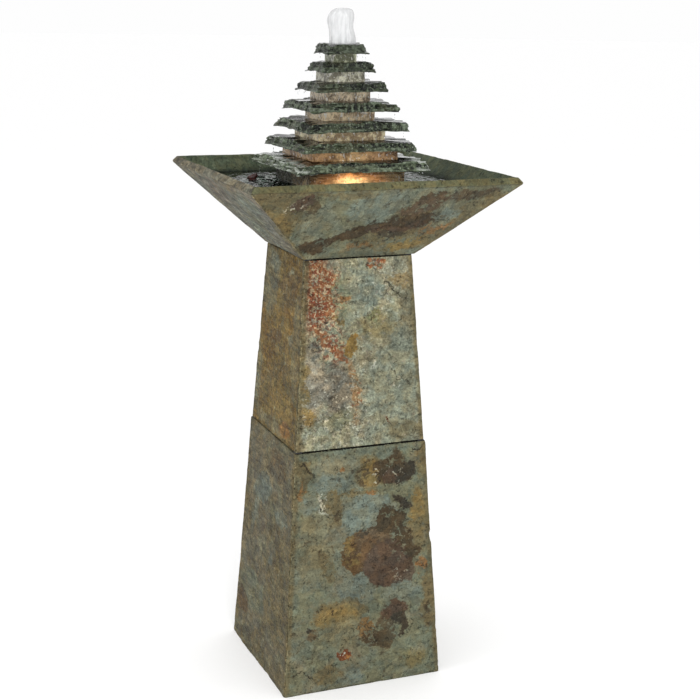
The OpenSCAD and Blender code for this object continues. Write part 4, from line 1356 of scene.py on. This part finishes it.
def tower():
    slate = wet_slate("wet_slate", (0.003, 0.005, 0.002), (0.045, 0.060, 0.029))
    pale = wet_slate("wet_slate_pale", (0.020, 0.027, 0.015), (0.090, 0.112, 0.066), 0.9)
    for i in range(1, 8):
        above = f"spacer_{i - 1}" if i > 1 else "bubbler_nozzle"
        chipped_plate(f"plate_{i}", above, pale if i == 7 else slate, 60 + i)
    for i, (dark, light) in enumerate(SPACER_COLOURS, 1):
        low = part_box(f"spacer_{i}")[0]
        glow = None
        if i in SPACER_GLOW:
            glow = ((lamp_spot().x, low.y, low.z + 4 * MM), (0.085, 0.030), SPACER_GLOW[i])
        stone = spacer_stone(f"spacer_stone_{i}", dark, light, glow)
        spacer_block(f"spacer_{i}", stone, 80 + i)


# ---- Water ----


def water_level():
    """The pool stands just over the lamp."""
    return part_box("lamp_bezel")[1].z + 2.4 * MM


def pool_water():
    colours = ((0.06, 0.08, 0.065), (0.16, 0.20, 0.17))
    clear = {"Transmission_Weight": 1.0, "IOR": 1.24}
    return grained("pool_water", (55.0, 2.0, 0.5, 0.5), *colours, (0.01, 0.03), 1.2 * MM, **clear)


def clear_water():
    colours = ((0.90, 0.93, 0.93), (0.98, 0.99, 0.99))
    clear = {"Transmission_Weight": 1.0, "IOR": 1.33}
    return grained("clear_water", (260.0, 2.0, 0.5), *colours, (0.01, 0.03), 0.4 * MM, **clear)


def white_water():
    """Water full of air, as in the jet."""
    g = Graph("white_water")
    strands = g.noise(g.stretched((1, 1, 0.18)), 210.0, 3.0, 0.6, 0.5)
    colour = g.mix(g.span(strands, 0.40, 0.62), (0.68, 0.685, 0.69), (0.80, 0.805, 0.81))
    rough = g.span(strands, 0.3, 0.7, 0.10, 0.25)
    return g.finish(colour, rough, strands, 0.7 * MM, Transmission_Weight=0.30, IOR=1.33)


def basin_half(z):
    """Inner half width of the basin at a height."""
    _, (_, _, inner_top, inner_foot) = wall_outline("basin_front")
    share = (z - inner_foot.y) / (inner_top.y - inner_foot.y)
    return inner_foot.x + share * (inner_top.x - inner_foot.x)


def ripples(x, y):
    """Waves round the drops that fall from the lowest plate, in millimetres."""
    lift = np.zeros_like(x)
    random = np.random.default_rng(5)
    edge = half_width("plate_7")
    for _ in range(30):
        side = random.integers(4)
        run = random.uniform(-edge, edge)
        spot = on_square(side, run, edge)
        far = np.hypot(x - spot[0], y - spot[1])
        wave = random.uniform(12, 19) * MM
        lift += 1.5 * np.cos(far * math.tau / wave) * np.exp(-far / (34 * MM))
    return lift


def pool(material):
    """The rippled surface, as a thin closed sheet that reaches into the walls."""
    z = water_level()
    half = basin_half(z) + 0.8 * MM
    count = 200
    thin = 1.0 * MM
    upward = np.array((0, 0, 1.0))
    line = np.linspace(-half, half, count)
    x, y = np.meshgrid(line, line)
    points = np.column_stack([x.ravel(), y.ravel(), np.full(x.size, z)])
    lift = ripples(x, y).ravel() + 0.7 * layered_noise(points * 70, 6, 3)
    lift = np.clip(0.8 * lift, -1.0, 2.2) * MM
    upper = points + upward * lift[:, None]
    lower = points - upward * thin + upward * np.minimum(lift, 0)[:, None] * 0.3
    total = len(points)
    faces = band_faces(count, count, wrap_around=False)
    faces += band_faces(count, count, wrap_around=False, start=total, flip=True)
    loop = list(range(count))
    loop += [j * count + count - 1 for j in range(1, count)]
    loop += [(count - 1) * count + i for i in reversed(range(count - 1))]
    loop += [j * count for j in reversed(range(1, count - 1))]
    faces += [(b, a, total + a, total + b) for a, b in zip(loop, loop[1:] + loop[:1])]
    vertices = np.concatenate([upper, lower])
    return new_piece("pool_surface", vertices, faces, material, "basin")


def red_flake(material):
    """A small red-brown piece that lies in the water by the left wall."""
    spot = Vector((-0.115, 0.053, water_level() + 2.4 * MM))
    around = 24
    levels = 13
    spoke, _ = spokes(around)
    rings = []
    for level in range(1, levels):
        tilt = math.pi * level / levels
        height = np.full(around, -math.cos(tilt))
        rings.append(np.column_stack([spoke * math.sin(tilt) ** 0.6, height]))
    shape = np.concatenate([[[0, 0, -1.0]], *rings, [[0, 0, 1.0]]])
    shape *= 1 + 0.5 * layered_noise(shape * 1.3, 31, 3)[:, None]
    shape *= 1 + 0.16 * np.floor(3 * layered_noise(shape * np.array((1, 1, 4)), 33, 2))[:, None]
    vertices = shape * np.array((8.0, 6.5, 7.5)) * MM + np.array(spot)
    faces = fan(0, 1, around, flip=True)
    faces += band_faces(levels - 1, around, start=1)
    faces += fan(len(vertices) - 1, len(vertices) - 1 - around, around)
    return new_piece("red_flake", vertices, faces, material, "basin")


def red_slate():
    g = Graph("red_slate")
    grain = g.noise(g.object, 260.0, 4.0, 0.7, 0.6)
    colour = g.mix(g.span(grain, 0.40, 0.58), (0.014, 0.004, 0.003), (0.062, 0.014, 0.010))
    return g.finish(colour, g.span(grain, 0.4, 0.6, 0.25, 0.45), grain, 1.5 * MM)


# Height share, radius and lean to the right of the jet, in millimetres
JET_RINGS = (
    (0.00, 19.0, 2.6), (0.05, 19.0, 2.7), (0.12, 19.0, 2.7), (0.20, 18.8, 2.6), (0.28, 18.2, 2.0),
    (0.36, 17.7, 1.4), (0.46, 17.2, 0.5), (0.56, 17.7, 0.0), (0.65, 18.4, 0.0), (0.73, 18.7, 0.5),
    (0.80, 18.3, 1.0), (0.86, 17.0, 1.5), (0.91, 15.4, 1.9), (0.95, 13.2, 2.2), (0.98, 9.8, 2.4),
    (0.995, 5.0, 2.4),
)


def jet(material):
    """The domed bubbler jet round the nozzle."""
    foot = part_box("plate_1")[1].z - 0.4 * MM
    height = 51.0 * MM
    around = 96
    spoke, angle = spokes(around)
    # It leans across the line from the nozzle to the front left
    aside = np.array((0.93, -0.37))
    rings = []
    for share, width, lean in JET_RINGS:
        folds = 0.030 * np.sin(angle * 9 + 2.0 * share) + 0.02 * np.sin(angle * 17 - 3.0 * share)
        folds += 0.03 * share * np.sin(angle * 5 + 1.0)
        radius = width * MM * (1 + folds)
        z = foot + height * share + 0.5 * MM * share * np.sin(angle * 3 + 2.0) * width / 19
        flat = spoke * radius[:, None] + aside * lean * MM
        points = np.column_stack([flat, z])
        shake = layered_noise(points * np.array((200, 200, 60)), 12, 3) * 0.9 * MM
        points[:, :2] += spoke * shake[:, None] * min(1, width / 12)
        rings.append(points)
    tip = np.array([[*(aside * 2.6 * MM), foot + height]])
    vertices = np.concatenate([*rings, tip])
    faces = band_faces(len(JET_RINGS), around)
    faces += fan(len(vertices) - 1, len(vertices) - 1 - around, around)
    flat_from = len(faces)
    faces.append(tuple(reversed(range(around))))
    return new_piece("jet_dome", vertices, faces, material, "tower", flat_from=flat_from)


def add_thread(vertices, faces, path, radii, sides=8):
    """Adds a closed thread of water along a path that runs down."""
    first = len(vertices)
    for (x, y, z), radius in zip(path, radii):
        for k in range(sides):
            a = k * math.tau / sides
            vertices.append((x + radius * math.cos(a), y + radius * math.sin(a), z))
    faces.extend(band_faces(len(path), sides, start=first, flip=True))
    last = len(vertices) - sides
    faces.append(tuple(range(first, first + sides)))
    faces.append(tuple(last + k for k in reversed(range(sides))))


# Radii of a drop from its tail down, as shares of its widest
DROP = np.array([0.12, 0.42, 0.72, 0.94, 1.0, 0.86, 0.45])


def drip(vertices, faces, x, y, top, end, random):
    """A bead that hangs from the lip, then up to three that fall."""
    z = top
    for _ in range(1 + random.integers(0, 4)):
        size = random.uniform(0.35, 0.85) * MM
        long = size * random.uniform(2.6, 6.0)
        if z - long < end:
            break
        path = [(x, y, z - long * share) for share in np.linspace(0, 1, len(DROP))]
        add_thread(vertices, faces, path, size * DROP)
        z -= long + random.uniform(1.0, 4.5) * MM


def falling_water(material):
    """Beads and short threads of water that drip from the edge of each plate."""
    random = np.random.default_rng(21)
    for i in range(1, 8):
        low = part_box(f"plate_{i}")[0]
        half = half_width(f"plate_{i}") - 2.2 * MM
        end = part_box(f"plate_{i + 1}")[1].z + 0.5 * MM if i < 7 else water_level() + 2 * MM
        vertices = []
        faces = []
        for _ in range(5 + i):
            side = random.integers(4)
            run = random.uniform(-0.95, 0.95) * half
            drip(vertices, faces, *on_square(side, run, half), low.z + 0.6 * MM, end, random)
        new_piece(f"drips_{i}", vertices, faces, material, "tower")


# ---- Carried-over CAD nodes ----


def moulded_plastic(name, colour, rough):
    g = Graph(name)
    grain = g.noise(g.object, 900.0, 2.0, 0.6)
    broad = g.noise(g.object, 45.0, 3.0, 0.5)
    shade = g.mix(g.span(broad, 0.35, 0.65), colour, tuple(0.7 * c + 0.012 for c in colour))
    return g.finish(shade, g.span(grain, 0.3, 0.7, rough - 0.06, rough + 0.08), grain, 0.08 * MM)


def soft_rubber():
    colours = ((0.020, 0.020, 0.021), (0.040, 0.040, 0.041))
    return grained("soft_rubber", (700.0, 3.0, 0.6), *colours, (0.62, 0.80), 0.1 * MM)


def brushed_metal():
    g = Graph("brushed_metal")
    lines = g.noise(g.stretched((30, 30, 1)), 60.0, 3.0, 0.6)
    colour = g.mix(lines, (0.50, 0.50, 0.49), (0.66, 0.66, 0.65))
    return g.finish(colour, g.span(lines, 0.3, 0.7, 0.22, 0.40), lines, 0.05 * MM, Metallic=1.0)


def clear_plastic():
    colours = ((0.80, 0.86, 0.87), (0.90, 0.94, 0.94))
    noise = (180.0, 2.0, 0.5)
    return grained("clear_plastic", noise, *colours, (0.05, 0.14), 0.1 * MM, Transmission_Weight=0.9)


def lens_glass():
    colours = ((0.95, 0.90, 0.78), (1.0, 0.96, 0.86))
    noise = (300.0, 2.0, 0.5)
    return grained("lens_glass", noise, *colours, (0.02, 0.07), 0.05 * MM, Transmission_Weight=1.0)


def lit_board():
    """White board whose three diodes glow warm."""
    g = Graph("lit_board")
    grain = g.noise(g.object, 600.0, 2.0, 0.5)
    colour = g.mix(grain, (0.75, 0.72, 0.62), (0.88, 0.85, 0.76))
    light = g.mix(grain, (1.0, 0.55, 0.18), (1.0, 0.66, 0.28))
    rough = g.span(grain, 0.3, 0.7, 0.30, 0.45)
    return g.finish(colour, rough, grain, 0.05 * MM, Emission_Color=light, Emission_Strength=3.0)


def magnet_ceramic():
    colours = ((0.040, 0.038, 0.040), (0.075, 0.072, 0.074))
    return grained("magnet_ceramic", (500.0, 3.0, 0.6), *colours, (0.42, 0.60), 0.1 * MM)


def shaft_ceramic():
    colours = ((0.78, 0.74, 0.64), (0.86, 0.83, 0.74))
    return grained("shaft_ceramic", (400.0, 2.0, 0.5), *colours, (0.14, 0.26), 0.05 * MM)


def resin(name, dark, light):
    noise = (130.0, 3.0, 0.6)
    return grained(name, noise, dark, light, (0.35, 0.55), 0.8 * MM, share=(0.35, 0.65))


def plain_slate():
    """Grey slate of the ring plates and the basin's floor."""
    g = Graph("plain_slate")
    broad = g.noise(g.object, 30.0, 5.0, 0.6, 0.5)
    fine = g.noise(g.object, 300.0, 3.0, 0.7)
    colour = g.mix(g.span(broad, 0.35, 0.65), (0.095, 0.110, 0.082), (0.160, 0.162, 0.118))
    colour = g.mix(g.span(fine, 0.6, 0.75, 0.0, 0.6), colour, (0.24, 0.22, 0.15))
    height = g.math("ADD", broad, g.math("MULTIPLY", fine, 0.3))
    return g.finish(colour, g.span(fine, 0.3, 0.7, 0.5, 0.7), height, 1.5 * MM)


def dress(material, *nodes):
    """Gives CAD nodes whose shape is right their finished material."""
    for node in nodes:
        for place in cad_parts[node].material_slots:
            place.material = material


def carried_over_nodes():
    rubber = soft_rubber()
    black = moulded_plastic("black_plastic", (0.022, 0.023, 0.025), 0.42)
    grey = moulded_plastic("grey_plastic", (0.20, 0.20, 0.20), 0.45)
    metal = brushed_metal()
    clear = clear_plastic()
    glue = resin("resin", (0.20, 0.19, 0.15), (0.30, 0.28, 0.22))
    sealant = resin("wet_sealant", (0.040, 0.046, 0.030), (0.075, 0.082, 0.056))
    slate = plain_slate()
    dress(slate, "base_cap", "column_cap", "basin_floor")
    dress(glue, "base_corner_beads", "column_corner_beads")
    dress(sealant, "basin_sealant")
    dress(rubber, "column_pads", "basin_pads", "cord_gland", "pump_feet")
    dress(rubber, "shaft_bushes", "lamp_cup", "lamp_seal")
    dress(black, "pump_motor", "pump_volute", "intake_cover", "lamp_yoke", "lamp_housing")
    dress(grey, "impeller", "flow_dial")
    dress(metal, "pump_screws", "lamp_pins", "lamp_bezel")
    dress(clear, "riser_tube", "bubbler_nozzle")
    dress(magnet_ceramic(), "rotor_magnet")
    dress(shaft_ceramic(), "pump_shaft")
    dress(lens_glass(), "lamp_lens")
    dress(lit_board(), "led_board")


# ---- Stage, lights and camera ----


def floor_surface():
    g = Graph("floor_paint")
    grain = g.noise(g.object, 5.0, 3.0, 0.5)
    colour = g.mix(grain, (0.90, 0.90, 0.90), (0.92, 0.92, 0.92))
    rough = g.span(grain, 0.3, 0.7, 0.85, 0.95)
    return g.finish(colour, rough, Emission_Color=(1.0, 1.0, 1.0), Emission_Strength=0.09)


def stage():
    """A wide round pale floor."""
    around = 48
    rings = [spokes(around)[0] * radius for radius in (0.5, 1.5, 4.0, 12.0, 40.0)]
    flat = np.concatenate([[[0.0, 0.0]], *rings])
    vertices = np.column_stack([flat, np.zeros(len(flat))])
    faces = fan(0, 1, around) + band_faces(len(rings), around, start=1, flip=True)
    mesh_object("floor", vertices, faces, floor_surface())


def area_light(name, place, target, size, watts, colour=(1, 1, 1)):
    data = bpy.data.lights.new(name, "AREA")
    data.shape = "RECTANGLE"
    data.size, data.size_y = size
    data.energy = watts
    data.color = colour
    light = bpy.data.objects.new(name, data)
    light.location = place
    way = Vector(target) - Vector(place)
    light.rotation_euler = way.to_track_quat("-Z", "Y").to_euler()
    bpy.context.collection.objects.link(light)


def lights():
    world = bpy.data.worlds.new("studio")
    world.use_nodes = True
    backdrop = world.node_tree.nodes["Background"]
    backdrop.inputs["Color"].default_value = (1.0, 1.0, 1.0, 1.0)
    backdrop.inputs["Strength"].default_value = 0.99
    bpy.context.scene.world = world
    area_light("key", (-0.7, -2.6, 2.5), (0, 0, 0.6), (0.9, 0.9), 28)
    area_light("front", (-0.75, -2.9, 0.90), (0, 0, 0.75), (0.9, 0.5), 15)
    area_light("fill", (-2.8, -0.6, 1.5), (0, 0, 0.5), (0.9, 1.2), 12)
    spot = lamp_spot()
    place = Vector((spot.x, spot.y - 14 * MM, water_level() + 3.0 * MM))
    target = place + Vector((0, 14 * MM, 7 * MM))
    area_light("lamp_spill", place, target, (24 * MM, 3 * MM), 0.006, (1.0, 0.42, 0.12))


def camera():
    """Stands where the photograph was taken from."""
    azimuth = math.radians(-21.906)
    pitch = math.radians(13.810)
    roll = math.radians(0.817)
    distance = 2.14026
    right = Vector((math.cos(azimuth), math.sin(azimuth), 0.0))
    aim = Vector((0.0, 0.0, 0.49089)) + right * 0.01975
    level = Vector((math.sin(azimuth), -math.cos(azimuth), 0.0))
    back = level * math.cos(pitch) + Vector((0.0, 0.0, math.sin(pitch)))
    up = back.cross(right)
    tilted_right = right * math.cos(roll) + up * math.sin(roll)
    tilted_up = up * math.cos(roll) - right * math.sin(roll)
    data = bpy.data.cameras.new("camera")
    data.sensor_width = 36.0
    data.lens = 73.058
    view = bpy.data.objects.new("camera", data)
    turn = Matrix((tilted_right, tilted_up, back)).transposed().to_4x4()
    view.matrix_world = Matrix.Translation(aim + back * distance) @ turn
    bpy.context.collection.objects.link(view)
    bpy.context.scene.camera = view


def look():
    bpy.context.scene.view_settings.view_transform = "Standard"


camera()
look()
lights()
stage()
base_section()
column_section()
basin_section()
chamber()
tower()
carried_over_nodes()
pool(pool_water())
red_flake(red_slate())
jet(white_water())
falling_water(clear_water())
